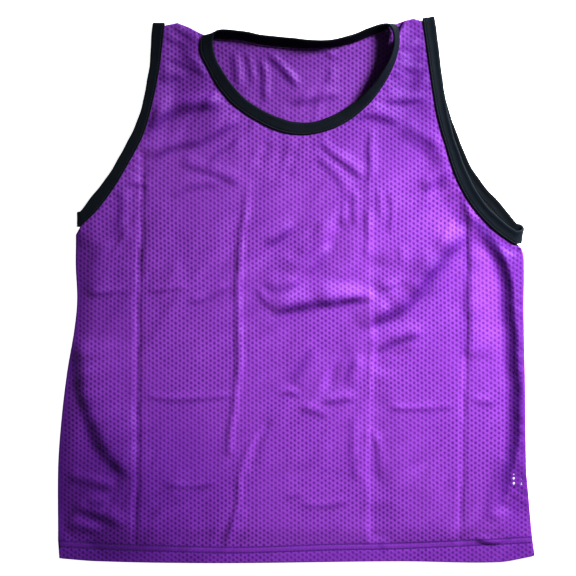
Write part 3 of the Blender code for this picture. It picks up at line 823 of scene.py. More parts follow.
# the least height that leaves room for what lies below: the label, the hem and the raised back
def roomBelow(x, y):
    below = (backHeight(x, y) - backCloth["level"]) * rightFold["overBack"]
    middleX, middleY = careLabel["middle"]
    near = np.hypot(x - middleX, y - middleY) / careLabel["reach"]
    label = careLabel["room"] * ease(2.0 - 2.0 * near)
    doubled = ease((hem["reach"] + hem["clearance"] - y) / hem["reach"]) * hem["extraThickness"] * 2
    return frontCloth["level"] - backCloth["wall"] + np.max([label, doubled, below], axis=0)


# the cloth right of the raised fold: its height, and its share of the whole
def rightStrip(x, y, fromRight, fromTape):
    raised, past = foldRise(y), pastFold(x, y)
    climb = np.clip(1.0 + past / rightFold["climb"], 0.0, 1.0)**rightFold["bend"]
    share = (climb * onset(raised, *rightFold["startsAt"]) * belowFoldTop(y)
             * ease(fromTape / rightFold["fromTape"]))
    along, sideways, across = rightFold["crumpleBeats"]
    crumple = np.sin(y / along + 2.0 * np.sin(y / sideways)) * np.sin(fromRight / across)
    level, reach = rightFold["crumpleBelow"]
    crumple = crumple * rightFold["crumple"] * ease((level - y) / reach) * ease(raised) * climb
    fall = rightFold["outwardFall"] * np.maximum(past, 0.0)
    return frontCloth["level"] + raised - fall + crumple, share


def frontHeight(x, y):
    fromLeft, fromRight = fromSides(x, y)
    free = (ease(fromLeft / frontCloth["leftReach"]) * ease(fromRight / frontCloth["rightReach"])
            * onset(y, hem["riseFrom"], hem["reach"]))
    onChest = frontCloth["evenShare"] + patchOf(x, y, *frontCloth["onChest"])
    base = frontCloth["level"] + frontCloth["loft"] * free
    base = base + frontCloth["undulation"] * undulations(x, y) * free * onChest
    for *patch, swell in frontCloth["swells"]:
        base = base + swell * patchOf(x, y, *patch)
    u, v = wander(x, y)
    folds = slackFolds(u, v, frontCloth["slack"])
    folds = folds + pressedFolds((x + u) / 2, (y + v) / 2, frontCloth["pressed"])
    folds = folds * np.minimum(1.0, frontCloth["leastFold"] + free)
    height = toTapes(x, y, base, folds, frontTapeLines, frontCloth["bandReach"])
    height = height + gathers(x, y, frontTapeLines, frontCloth["gathers"])
    fromTape = np.min([distanceTo(x, y, line, frontCloth["tapeSearch"])
                       for line in frontTapeLines], axis=0)
    height = np.where(fromTape < frontCloth["tapeHolds"], height,
                      np.maximum(height, roomBelow(x, y)))
    strip, share = rightStrip(x, y, fromRight, fromTape)
    return height + (strip - height) * share


# the side and shoulder edges of both panels curl towards each other, as at a sewn seam
joinedEdges = [edgeLine(n) for n in ("sideLeft", "sideRight", "shoulderLeft", "shoulderRight")]
seam = {"halfGap": 0.28, "curl": 0.9, "tightest": 1.2, "widest": 3.0, "rimBulge": 0.7}


def curled(x, y, height, other, side):
    meet = (height + other) / 2.0 + side * seam["halfGap"]
    for line in joinedEdges:
        away = distanceTo(x, y, line, seam["widest"])
        radius = np.clip(np.abs(height - meet) * seam["curl"], seam["tightest"], seam["widest"])
        share = np.clip(away / radius, 0.0, 1.0)
        rolled = meet + (height - meet) * np.sqrt(1 - (1 - share)**2)
        height = np.where(away < radius, rolled, height)
    return height


def frontSurface(x, y):
    return curled(x, y, frontHeight(x, y), backHeight(x, y), 1.0)


def backSurface(x, y):
    return curled(x, y, backHeight(x, y), frontHeight(x, y), -1.0)


def stitchGroove(x, y):
    return sum(np.exp(-(distanceTo(x, y, line, hem["stitchReach"]) / hem["stitchWidth"])**2)
               for line in (upperStitchLine, lowerStitchLine))


clothGrid = {"columns": (-262.0, 263.0), "rows": (-8.0, 590.0), "step": 3.0, "tallest": 12.0,
             "passes": 12}


# distances along the cloth itself, so the holes lie on it as they were knitted
def flatCutMap(surface):
    step = clothGrid["step"]
    xs, ys = (np.arange(*clothGrid[key], step) for key in ("columns", "rows"))
    gridX, gridY = np.meshgrid(xs, ys)
    heights = surface(gridX.ravel(), gridY.ravel()).reshape(gridX.shape)
    heights = np.clip(heights, 0.0, clothGrid["tallest"])
    u = np.pad(np.hypot(step, np.diff(heights, axis=1)).cumsum(1), ((0, 0), (1, 0)))
    v = np.pad(np.hypot(step, np.diff(heights, axis=0)).cumsum(0), ((1, 0), (0, 0)))
    middle = len(xs) // 2
    u = u - u[:, middle:middle + 1]
    # ease the differences between neighbouring rows, as knitted loops do
    for _ in range(clothGrid["passes"]):
        u[1:-1] = (u[:-2] + 2 * u[1:-1] + u[2:]) / 4
        v[:, 1:-1] = (v[:, :-2] + 2 * v[:, 1:-1] + v[:, 2:]) / 4

    def read(x, y):
        i = np.clip((x - xs[0]) / step, 0, len(xs) - 1.001)
        j = np.clip((y - ys[0]) / step, 0, len(ys) - 1.001)
        a, b = i.astype(int), j.astype(int)
        s, t = i - a, j - b
        return np.stack([g[b, a] * (1 - s) * (1 - t) + g[b, a + 1] * s * (1 - t)
                         + g[b + 1, a] * (1 - s) * t + g[b + 1, a + 1] * s * t
                         for g in (u, v)], 1)
    return read


def insideRing(x, y, ring):
    odd = np.zeros(x.shape, bool)
    for a, b in zip(ring, np.roll(ring, -1, 0)):
        if a[1] == b[1]:
            continue
        spans = (a[1] > y) != (b[1] > y)
        odd ^= spans & (x < a[0] + (b[0] - a[0]) * (y - a[1]) / (b[1] - a[1]))
    return odd


def offsetRow(line, distance):
    run = unit(np.gradient(line[:, :2], axis=0))
    return line[:, :2] + np.stack([-run[:, 1], run[:, 0]], 1) * distance


spacing = {
    "alongEdge": 2.4,
    "fromSide": (0.35, 0.9, 1.8),
    "fromShoulder": (0.4, 1.0, 2.0, 3.2),
    "fromStitches": (-1.3, -0.5, 0.0, 0.5, 1.3),
    "acrossSlack": (-0.5, 0.0, 0.5),        # in widths of the steep side
    "alongFold": 0.8,                       # in pitches
    "least": 0.45,
    "fromRing": 0.3,
    "fromRows": 0.6,                        # in pitches
    "columns": (-254.0, 256.0),
    "rows": (-2.0, 580.0),
}


# points of a panel inside its ring: rows near edges, stitches and folds, then a scatter
def panelScatter(ring, pitch, pressed, slack):
    def beside(line, offsets, step):
        line = flatLine(smoothRows(line, step)[0])
        return [offsetRow(line, d) for d in offsets]

    step, foldStep = spacing["alongEdge"], pitch * spacing["alongFold"]
    rows = []
    for key, names in (("fromSide", ("hem", "sideRight", "sideLeft")),
                       ("fromShoulder", ("shoulderRight", "shoulderLeft"))):
        for name in names:
            rows += beside(plainEdges[name], spacing[key], step)
    for line in (upperStitchLine, lowerStitchLine):
        rows += beside(line[:, :2], spacing["fromStitches"], step)
    rows += [smoothRows([p[:2] for p in row[1:]], foldStep)[0] for row in pressed]
    for steep, _, _, *points in slack:
        rows += beside(points, [steep * d for d in spacing["acrossSlack"]], foldStep)
    first = np.concatenate(rows)
    _, keep = np.unique(np.round(first / spacing["least"]).astype(int), axis=0, return_index=True)
    first = first[np.sort(keep)]
    gridX, gridY = np.meshgrid(np.arange(*spacing["columns"], pitch),
                               np.arange(*spacing["rows"], pitch * math.sqrt(0.75)))
    gridX[1::2] += pitch / 2
    grid = np.stack([gridX.ravel(), gridY.ravel()], 1)
    first, grid = (p[insideRing(p[:, 0], p[:, 1], ring)] for p in (first, grid))
    first = clearOf(ring, first, spacing["fromRing"])
    grid = clearOf(np.concatenate([first, ring]), grid, pitch * spacing["fromRows"])
    return np.concatenate([first, grid])


# those of some points that lie more than a distance from all of the others
def clearOf(others, points, distance):
    tree = KDTree(len(others))
    for i, p in enumerate(others):
        tree.insert((p[0], p[1], 0.0), i)
    tree.balance()
    return np.array([p for p in points if tree.find((p[0], p[1], 0.0))[2] > distance])


# a panel's outline, and where in it each stretch that a tape binds starts
def panelRing(side, bound):
    corner = side + "Corner"
    plain = [np.concatenate([edgeLine("hem")[:, :2], edgeLine("sideRight")[:, :2]]),
             np.array(plainEdges["shoulderRight"] + plainEdges[corner + "Right"]),
             np.array(plainEdges[corner + "Left"] + plainEdges["shoulderLeft"]),
             edgeLine("sideLeft")[:, :2]]
    ring, starts = [plain[0]], []
    for (deep, _), after in zip(bound, plain[1:]):
        starts.append(sum(len(part) for part in ring))
        ring += [deep[:, :2], after]
    return np.concatenate(ring), starts


def makePanel(name, spec, side, surface, material, up):
    # the tape's own sections give the ring its bound edges, and each holds a strip of cloth
    bound = []
    for band in allBands:
        i = band[side][::2] if len(band[side]) % 2 else np.append(band[side][::2], band[side][-1])
        deep = bandPoint(band, i, band["width"][i] + tape["straightPast"])
        raw = bandPoint(band, i, np.full(len(i), tape["clothStartsIn"]))
        bound.append((deep[::-1], raw[::-1]) if side == "front" else (deep, raw))
    ring, starts = panelRing(side, bound)
    flat = np.concatenate([ring, panelScatter(ring, spec["pitch"], spec["pressed"], spec["slack"])])
    edges = [(i, (i + 1) % len(ring)) for i in range(len(ring))]
    made = delaunay_2d_cdt([tuple(p) for p in flat.tolist()], edges, [], 1, 1e-5)
    flat, faces = np.array([tuple(p) for p in made[0]]), [tuple(f) for f in made[2]]
    z = surface(flat[:, 0], flat[:, 1])
    strips, count = [], len(flat)
    for start, (deep, raw) in zip(starts, bound):
        z[start:start + len(deep)] = deep[:, 2]
        first = count + sum(len(strip) for strip in strips)
        strips.append(raw)
        for k in range(len(raw) - 1):
            faces.append((first + k, first + k + 1, start + k + 1))
            faces.append((first + k, start + k + 1, start + k))
    middle = np.concatenate([np.column_stack([flat, z]), *strips])
    return wallOf(name, spec, middle, np.array(faces), material, up, surface)


# the edge vertices of a surface, in order round it
def rimOf(faces):
    sides = {(int(f[k]), int(f[(k + 1) % 3])) for f in faces for k in range(3)}
    after = {p: q for p, q in sides if (q, p) not in sides}
    chain = [min(after)]
    while after[chain[-1]] != chain[0]:
        chain.append(after[chain[-1]])
    return np.array(chain)


weave = {
    "opensLeft": (2.0, 2.0),    # from the seam: where the mesh starts to open, over how much
    "opensRight": (1.6, 1.6),
    "allowance": (4.0, 3.0),    # and where the seam's allowance lies below it
    "allowanceShare": 0.8,
    "allowanceFold": 2.0,       # height of the raised fold that shows it
    "allowanceBelow": (270.0, 30.0),
    # painted shade along the left seam and over the doubled hem
    "leftSeamTone": 0.9,
    "leftSeamReach": 7.0,
    "hemTone": 0.3,
}


# where the mesh is open and plain, its painted shading, and where it lies over the label, at points
# of a panel
def clothMasks(x, y, spec, doubled, upper, up):
    fromLeft, fromRight = fromSides(x, y)
    seamOpen = onset(fromLeft, *weave["opensLeft"]) * onset(fromRight, *weave["opensRight"])
    overLabel = np.zeros(len(x))
    # painted shade on the folds and in patches, and painted light along troughs
    paintedShading = paintedFoldShading(x, y, spec["slack"])
    for *patch, depth in spec["deeper"]:
        paintedShading += depth * patchOf(x, y, *patch)
    if up > 0:
        level, reach = weave["allowanceBelow"]
        allowance = ease(foldRise(y) / weave["allowanceFold"]) * ease((level - y) / reach)
        allowance = allowance * (1.0 - onset(fromRight, *weave["allowance"]))
        seamOpen *= 1.0 - weave["allowanceShare"] * allowance
        # painted shade in the hollow left of the raised fold, where its shadow falls, and on the
        # strip right of it
        past = pastFold(x, y)
        hollow = (ease(1.0 + past / rightFold["shadeReach"])
                  * ease(1.0 - past / rightFold["shadeEnds"]))
        hollow = np.maximum(rightFold["shadeTone"] * hollow, rightFold["stripTone"] * (past > 0.0))
        hollow = hollow * ease(foldRise(y) / rightFold["shadeFull"]) * belowFoldTop(y)
        # painted shade along the left seam and over the doubled hem
        atSeam = np.exp(-(fromLeft / weave["leftSeamReach"])**2)
        paintedShading = np.maximum(paintedShading, hollow)
        paintedShading += weave["leftSeamTone"] * atSeam + weave["hemTone"] * doubled
        awayX, awayY = (np.abs(a - b) for a, b in zip((x, y), careLabel["middle"]))
        overLabel = (ease((careLabel["seenWithin"] - np.maximum(awayX, awayY)) / careLabel["blur"])
                     * onset(awayX, careLabel["middleHidden"], careLabel["blur"]))
    lower, past = upper - hem["lowerStitchDown"], hem["plainPast"]
    plain = ease((upper + past - y) / past) * ease((y - lower + past) / past)
    return {"paintedShading": paintedShading, "overLabel": overLabel, "openWeave": seamOpen * (1.0 - doubled),
            "plainWeave": np.maximum(plain, 1.0 - seamOpen), "hemGroove": stitchGroove(x, y)}


# the bake map has an island for each side and two strips for the rim
bakeMap = {
    "corner": (-256.0, -4.0), "extent": 590.0, "margin": 0.01, "outerSize": 0.74,
    "turnedBy": 0.87, "innerSize": 0.36, "innerAt": (0.66, 0.01),
    "rimLength": 0.97, "rims": ((0.86, 0.92), (0.93, 0.99)),
}


# gives the middle surface its thickness, with a rounded rim, and more of it over the hem
def wallOf(name, spec, middle, faces, material, up, surface):
    a, b, c = (middle[faces[:, k]] for k in range(3))
    normal = np.cross(b - a, c - a)
    wrongWay = normal[:, 2] * up < 0
    faces[wrongWay] = faces[wrongWay][:, ::-1]
    normal[wrongWay] *= -1
    normals = np.zeros(middle.shape)
    for k in range(3):
        np.add.at(normals, faces[:, k], normal)
    normals = unit(normals)
    x, y = middle[:, 0], middle[:, 1]
    upper = np.interp(x, upperStitchLine[:, 0], upperStitchLine[:, 1])
    doubled = ease((upper + hem["turnStep"] - y) / hem["turnStep"])
    half = spec["wall"] / 2
    groove = stitchGroove(x, y) * hem["stitchDip"] / 2
    outer = middle + normals * (half - groove)[:, None]
    inner = middle - normals * (half + doubled * hem["extraThickness"] - groove)[:, None]
    count, chain = len(middle), rimOf(faces)
    after, before = np.roll(chain, -1), np.roll(chain, 1)
    run = unit(middle[after] - middle[before])
    outward = unit(np.cross(run, normals[chain]))
    hemBulge = (spec["wall"] + hem["extraThickness"]) * hem["rimBulge"]
    bulge = np.where(doubled[chain] > 0.5, hemBulge, half * seam["rimBulge"])
    rim = (outer[chain] + inner[chain]) / 2 + outward * bulge[:, None]
    place = np.arange(len(chain)) + 2 * count
    nextPlace = np.roll(place, -1)
    shell = faces.tolist() + (faces[:, ::-1] + count).tolist()
    shell += np.stack([chain, place, nextPlace, after], 1).tolist()
    shell += np.stack([place, chain + count, after + count, nextPlace], 1).tolist()

    def onAll(values):
        return np.concatenate([values, values, values[chain]])

    places = (middle[:, :2] - bakeMap["corner"]) / bakeMap["extent"]
    small = places * bakeMap["innerSize"] + bakeMap["innerAt"]
    if up < 0:
        places = places * (-1, 1) + (bakeMap["turnedBy"], 0)
    big = places * bakeMap["outerSize"] + bakeMap["margin"]
    corners = np.concatenate([big, small])[np.array(shell[:2 * len(faces)]).ravel()].tolist()
    lengths = np.cumsum(np.linalg.norm(middle[after] - middle[chain], axis=1))
    ends = bakeMap["margin"] + bakeMap["rimLength"] * np.append(0.0, lengths) / lengths[-1]
    for low, high in bakeMap["rims"]:
        for start, end in zip(ends[:-1], ends[1:]):
            corners += [(start, low), (start, high), (end, high), (end, low)]
    cut = flatCutMap(surface)(x, y) * mm
    masks = clothMasks(x, y, spec, doubled, upper, up)
    piece = makeMesh(name, np.concatenate([outer, inner, rim]), shell, material, onAll(cut),
                     np.array(corners), {key: onAll(values) for key, values in masks.items()})
    print(name, "faces", len(shell), "area", round(sum(p.area for p in piece.data.polygons) / 2, 4))
    return piece


# each stitch is a short spindle: place along it, thickness and rise at five points
spindle = ((-0.5, 0.0, -0.55), (-0.34, 0.75, -0.05), (0.0, 1.0, 0.35), (0.34, 0.75, -0.05),
           (0.5, 0.0, -0.55))
tapeThread = {"length": 2.3, "gap": 0.7, "radius": 0.22, "proud": 0.02, "sides": 6}
hemThread = {**tapeThread, "length": 2.5, "gap": 0.8, "radius": 0.2}


# stitches along a line of points, each set into the cloth
def stitchRow(points, normals, thread):
    length, radius, sides = thread["length"], thread["radius"], thread["sides"]
    pace = length + thread["gap"]
    steps = np.linalg.norm(np.diff(points, axis=0), axis=1)
    arc = np.concatenate([[0.0], np.cumsum(steps)])
    verts, faces = [], []

    def along(values, at):
        return np.array([np.interp(at, arc, values[:, k]) for k in range(3)])

    for n in range(int(arc[-1] / pace)):
        at = (n + 0.5) * pace
        middle, normal = along(points, at), unit(along(normals, at))
        run = unit(along(points, at + 0.8) - along(points, at - 0.8))
        across = unit(np.cross(normal, run))
        base = len(verts)
        for place, thick, rise in spindle:
            centre = middle + run * place * length + normal * rise * radius
            if thick == 0.0:
                verts.append(centre)
                continue
            for k in range(sides):
                angle = 2 * math.pi * k / sides
                verts.append(centre + (across * math.cos(angle) + normal * math.sin(angle))
                             * radius * thick)
        last = base + 1 + 3 * sides
        for k in range(sides):
            m = (k + 1) % sides
            faces.append((base, base + 1 + m, base + 1 + k))
            faces.append((last, last - sides + k, last - sides + m))
            for ringAt in (base + 1, base + 1 + sides):
                faces.append((ringAt + k, ringAt + m, ringAt + m + sides, ringAt + k + sides))
    return verts, faces


def joinRows(name, rows, material):
    verts, faces = [], []
    for rowVerts, rowFaces in rows:
        base = len(verts)
        verts += rowVerts
        faces += [tuple(i + base for i in f) for f in rowFaces]
    return makeMesh(name, np.array(verts), faces, material)


def tapeStitches(name, band, material):
    rows = []
    loop = np.append(np.arange(len(band["fold"])), 0)
    at = band["width"][loop] - tape["stitchIn"]
    depth = tape["halfThickness"] - tape["stitchDip"] + tapeThread["proud"]
    for side in (1.0, -1.0):
        points = bandPoint(band, loop, at, np.full(len(loop), side * depth))
        rows.append(stitchRow(points, band["out"][loop] * side, tapeThread))
    return joinRows(name, rows, material)


def hemStitches(name, surface, material, sign):
    rows = []
    for line in (upperStitchLine, lowerStitchLine):
        x = np.arange(*hem["stitchRun"])
        y = np.interp(x, line[:, 0], line[:, 1])
        z = surface(x, y)
        slope = np.gradient(z, x)
        normals = unit(np.column_stack([-slope, np.zeros(len(x)), np.ones(len(x))])) * sign
        depth = backCloth["wall"] / 2 - hem["stitchDip"] / 2 + hemThread["proud"]
        rows.append(stitchRow(np.column_stack([x, y, z]) + normals * depth, normals, hemThread))
    return joinRows(name, rows, material)


# a shader node with its inputs set or linked
def put(tree, kind, values=None, **settings):
    node = tree.nodes.new(kind)
    for key, value in settings.items():
        setattr(node, key, value)
    for socket, value in (values or {}).items():
        if isinstance(value, bpy.types.NodeSocket):
            tree.links.new(value, node.inputs[socket])
        else:
            node.inputs[socket].default_value = value
    return node


def calc(tree, operation, *values, clamp=False):
    return put(tree, "ShaderNodeMath", dict(enumerate(values)), operation=operation,
               use_clamp=clamp).outputs[0]


def times(tree, first, *others):
    for other in others:
        first = calc(tree, "MULTIPLY", first, other)
    return first


def plus(tree, first, second):
    return calc(tree, "ADD", first, second)


def less(tree, first, second, clamp=False):
    return calc(tree, "SUBTRACT", first, second, clamp=clamp)


def ramp(tree, value, low, high, toLow=0.0, toHigh=1.0):
    limits = {"From Min": low, "From Max": high, "To Min": toLow, "To Max": toHigh}
    return put(tree, "ShaderNodeMapRange", {"Value": value, **limits},
               interpolation_type="SMOOTHSTEP").outputs[0]


def noise(tree, place, scale, detail=2.0, distortion=0.0, output="Fac"):
    return put(tree, "ShaderNodeTexNoise", {"Vector": place, "Scale": scale, "Detail": detail,
                                            "Distortion": distortion}).outputs[output]


def split(tree, place):
    return put(tree, "ShaderNodeSeparateXYZ", {0: place}).outputs


def attribute(tree, name):
    return put(tree, "ShaderNodeAttribute", attribute_name=name).outputs["Fac"]


# a node group that takes a place on the cloth and some numbers, and gives numbers
def newGroup(name, numbers, outputs):
    group = bpy.data.node_groups.new(name, "ShaderNodeTree")
    group.interface.new_socket("Cloth Place", in_out="INPUT", socket_type="NodeSocketVector")
    for socketName, default in numbers.items():
        socket = group.interface.new_socket(socketName, in_out="INPUT",
                                            socket_type="NodeSocketFloat")
        socket.default_value = default
    for socketName in outputs:
        group.interface.new_socket(socketName, in_out="OUTPUT", socket_type="NodeSocketFloat")
    given = put(group, "NodeGroupInput").outputs
    return group, given, given["Cloth Place"], put(group, "NodeGroupOutput").inputs


# what a hole gives off: metres past its edge where that starts and ends, and its values there
holeEdge = {
    "Cloth": (-0.00012, 0.00016, 0.0, 1.0),
    "Rim": (-0.0005, 0.0009, 1.0, 0.0),
    "Height": (-0.0007, 0.0013, 0.0, 1.0),
    "Crest": (0.0009, 0.0017, 0.0, 1.0),
}


# the radii are shares of the hole size
holeShape = {"flattened": 0.88, "wanderScale": 60.0, "radii": (0.44, 0.56)}


# round holes in columns, every other column half a step along
def pinHolesGroup():
    group, given, spot, result = newGroup(
        "pinHoles", {"Column Gap": 0.0041, "Hole Gap": 0.0053, "Hole Size": 0.002,
                     "Wander": 0.0003}, holeEdge)
    push = noise(group, spot, holeShape["wanderScale"], detail=1.0, output="Color")
    push = put(group, "ShaderNodeVectorMath", {0: push, 1: (0.5, 0.5, 0.5)},
               operation="SUBTRACT").outputs[0]
    push = put(group, "ShaderNodeVectorMath", {0: push, "Scale": given["Wander"]},
               operation="SCALE").outputs[0]
    place = split(group, put(group, "ShaderNodeVectorMath", {0: spot, 1: push},
                             operation="ADD").outputs[0])
    across = calc(group, "DIVIDE", place["X"], given["Column Gap"])
    column = calc(group, "ROUND", across)
    offX = times(group, less(group, across, column), given["Column Gap"])
    shifted = times(group, calc(group, "FLOORED_MODULO", column, 2.0), 0.5)
    along = plus(group, calc(group, "DIVIDE", place["Y"], given["Hole Gap"]), shifted)
    row = calc(group, "ROUND", along)
    offY = times(group, less(group, along, row), given["Hole Gap"], holeShape["flattened"])
    distance = calc(group, "SQRT", plus(group, times(group, offX, offX), times(group, offY, offY)))
    cell = put(group, "ShaderNodeCombineXYZ", {"X": column, "Y": row}).outputs[0]
    chance = put(group, "ShaderNodeTexWhiteNoise", {"Vector": cell},
                 noise_dimensions="3D").outputs["Value"]
    radius = times(group, given["Hole Size"], ramp(group, chance, 0.0, 1.0, *holeShape["radii"]))
    gone = less(group, distance, radius)
    for name, limits in holeEdge.items():
        group.links.new(ramp(group, gone, *limits), result[name])
    return group


# knitted loops: ribs along, with a small zigzag across each
def knitLoopsGroup():
    group, given, spot, result = newGroup("knitLoops", {"Rib Gap": 0.0008, "Loop Gap": 0.0007},
                                          ("Height", "Tone"))
    place = split(group, spot)
    loops = calc(group, "DIVIDE", place["Y"], given["Loop Gap"])
    ribs = plus(group, calc(group, "DIVIDE", place["X"], given["Rib Gap"]),
                times(group, calc(group, "PINGPONG", loops, 0.5), 0.35))
    ribWave, loopWave = (calc(group, "ABSOLUTE", calc(group, "SINE", times(group, turns, math.pi)))
                         for turns in (ribs, loops))
    height = times(group, ribWave, plus(group, 0.6, times(group, loopWave, 0.4)))
    group.links.new(height, result["Height"])
    # painted shade: the tone is darker in the grooves between ribs and loops
    group.links.new(ramp(group, height, 0.0, 0.7, 0.78, 1.06), result["Tone"])
    return group


# uneven dye and handling: broad patches with finer ones on them, about 1
def unevenToneGroup():
    group, given, spot, result = newGroup("unevenTone", {"Patch Scale": 14.0, "Amount": 0.1},
                                          ("Tone",))
    broad = noise(group, spot, given["Patch Scale"], detail=3.0)
    fine = noise(group, spot, times(group, given["Patch Scale"], 23.0))
    mixed = plus(group, times(group, broad, 0.6), times(group, fine, 0.4))
    swing = times(group, less(group, mixed, 0.5), given["Amount"], 4.0)
    group.links.new(plus(group, 1.0, swing), result["Tone"])
    return group


# long soft crumples that lean a little, in patches
def softCrumplesGroup():
    group, given, spot, result = newGroup(
        "softCrumples", {"Lean": 0.6, "Narrow": 48.0, "Long": 14.0, "Patch Scale": 8.0},
        ("Height",))
    turned = put(group, "ShaderNodeVectorRotate", {"Vector": spot, "Angle": given["Lean"]},
                 rotation_type="Z_AXIS").outputs[0]
    place = split(group, turned)
    drawn = put(group, "ShaderNodeCombineXYZ", {
        "X": times(group, place["X"], given["Narrow"]),
        "Y": times(group, place["Y"], given["Long"])}).outputs[0]
    streaks = noise(group, drawn, 1.0, detail=1.0, distortion=0.4)
    patches = ramp(group, noise(group, spot, given["Patch Scale"]), 0.38, 0.62)
    group.links.new(times(group, less(group, streaks, 0.5), patches), result["Height"])
    return group


# the painted shade round the holes is fainter in patches, where the layer behind lies right under
# them
def layerBehindGroup():
    group, given, spot, result = newGroup("layerBehind", {"Patch Scale": 11.0, "Faintest": 0.4},
                                          ("Clear",))
    patches = noise(group, spot, given["Patch Scale"], detail=1.0)
    group.links.new(ramp(group, patches, 0.4, 0.58, given["Faintest"], 1.0), result["Clear"])
    return group


pinHoles, knitLoops, unevenTone = pinHolesGroup(), knitLoopsGroup(), unevenToneGroup()
softCrumples, layerBehind = softCrumplesGroup(), layerBehindGroup()


def addGroup(tree, group, spot, numbers=None):
    return put(tree, "ShaderNodeGroup", {"Cloth Place": spot, **(numbers or {})},
               node_tree=group).outputs


# which sockets of the shader a look sets
lookSockets = {
    "roughness": "Roughness", "gloss": "Specular IOR Level", "sheen": "Sheen Weight",
    "sheenRoughness": "Sheen Roughness", "sheenTint": "Sheen Tint",
    "glowTint": "Emission Color", "glow": "Emission Strength",
}


def newMaterial(name, look):
    material = bpy.data.materials.new(name)
    material.use_nodes = True
    tree = material.node_tree
    shader = tree.nodes["Principled BSDF"]
    for key, socket in lookSockets.items():
        if key in look:
            shader.inputs[socket].default_value = look[key]
    place = put(tree, "ShaderNodeUVMap", uv_map="flatCut").outputs["UV"]
    return material, tree, shader, place


# the base colour by its tones; darker tones, painted shade among them, get deeper in colour, as
# shade on this purple cloth does
def tint(tree, shader, look, *tones):
    tone = times(tree, *tones)
    parts = [tone if power == 1.0 else calc(tree, "POWER", tone, power)
             for power in look["deepening"]]
    grey = put(tree, "ShaderNodeCombineXYZ", dict(zip("XYZ", parts))).outputs[0]
    mixed = put(tree, "ShaderNodeMix", {"Factor": 1.0, "A": (*look["colour"], 1.0), "B": grey},
                data_type="RGBA", blend_type="MULTIPLY").outputs["Result"]
    tree.links.new(mixed, shader.inputs["Base Color"])


def relief(tree, shader, strength, distance, height):
    bump = put(tree, "ShaderNodeBump", {"Strength": strength, "Distance": distance,
                                        "Height": height})
    tree.links.new(bump.outputs["Normal"], shader.inputs["Normal"])


def clothMaterial(name, look):
    material, tree, shader, place = newMaterial(name, look)
    overLabel, groove = attribute(tree, "overLabel"), attribute(tree, "hemGroove")
    opened, plain = attribute(tree, "openWeave"), attribute(tree, "plainWeave")
    holeSize = ramp(tree, overLabel, 0.0, 1.0, look["holeSize"], look["stretchedHole"])
    holes = addGroup(tree, pinHoles, place, {
        "Column Gap": look["columnGap"], "Hole Gap": look["holeGap"], "Hole Size": holeSize,
        "Wander": look["wander"]})
    knit = addGroup(tree, knitLoops, place, {"Rib Gap": look["ribGap"],
                                             "Loop Gap": look["loopGap"]})
    patches = addGroup(tree, unevenTone, place, {"Patch Scale": look["patchScale"],
                                                "Amount": look["uneven"]})
    behind = addGroup(tree, layerBehind, place, {"Faintest": look["faintest"]})
    crumples = addGroup(tree, softCrumples, place)
    # fine threads across the holes veil them, but not where they are stretched over the label
    hole = less(tree, 1.0, holes["Cloth"])
    clear = ramp(tree, overLabel, 0.0, 1.0, 1.0 - look["veil"], 1.0)
    seen = times(tree, hole, clear, ramp(tree, opened, *look["opening"]))
    tree.links.new(less(tree, 1.0, seen, clamp=True), shader.inputs["Alpha"])
    # painted shade: the holes are darker dots, for the shaded layer seen through them
    holed = less(tree, 1.0, plain)
    dots = less(tree, 1.0, times(tree, hole, holed, look["dotDark"]))
    # painted shade round each hole
    rim = less(tree, 1.0, times(tree, holes["Rim"], holed, behind["Clear"],
                                1.0 - look["rimTone"]))
    # painted highlight on the threads between the holes
    crest = ramp(tree, holes["Crest"], 0.0, 1.0, 1.0, look["paintedGlintTone"])
    # painted shade in the stitch grooves along the hem
    stitch = ramp(tree, groove, 0.0, 1.0, 1.0, look["grooveTone"])
    # painted shade on the folds, beside the raised fold and in patches, and painted light along
    # troughs
    shadingTone = calc(tree, "POWER", look["paintedShadeTone"], attribute(tree, "paintedShading"))
    tint(tree, shader, look, patches["Tone"], knit["Tone"], dots, rim, crest, stitch, shadingTone)
    height = plus(tree, calc(tree, "MAXIMUM", holes["Height"], plain),
                  times(tree, knit["Height"], look["knitHeight"]))
    height = plus(tree, height, times(tree, crumples["Height"], look["crumple"]))
    relief(tree, shader, look["relief"], look["reliefDepth"], height)
    return material


def tapeMaterial(name, look):
    material, tree, shader, place = newMaterial(name, look)
    knit = addGroup(tree, knitLoops, place, {"Rib Gap": look["ribGap"],
                                             "Loop Gap": look["loopGap"]})
    patches = addGroup(tree, unevenTone, place, {"Patch Scale": look["patchScale"],
                                                "Amount": look["uneven"]})
    shaded = ramp(tree, attribute(tree, "shadedHalf"), 0.0, 1.0, 1.0, look["shadedTone"])
    tint(tree, shader, look, patches["Tone"], knit["Tone"], shaded)
    relief(tree, shader, look["relief"], look["reliefDepth"], knit["Height"])
    return material


def threadMaterial(name, look):
    material, tree, shader, _ = newMaterial(name, look)
    spot = put(tree, "ShaderNodeTexCoord").outputs["Object"]
    twist = put(tree, "ShaderNodeTexWave", {"Vector": spot, "Scale": look["twist"],
                                            "Distortion": 1.0}).outputs["Fac"]
    patches = addGroup(tree, unevenTone, spot, {"Patch Scale": look["patchScale"],
                                               "Amount": look["uneven"]})
    # painted shade in the grooves of the twist
    tint(tree, shader, look, patches["Tone"], ramp(tree, twist, 0.0, 1.0, *look["twistTones"]))
    relief(tree, shader, look["relief"], look["reliefDepth"], twist)
    return material


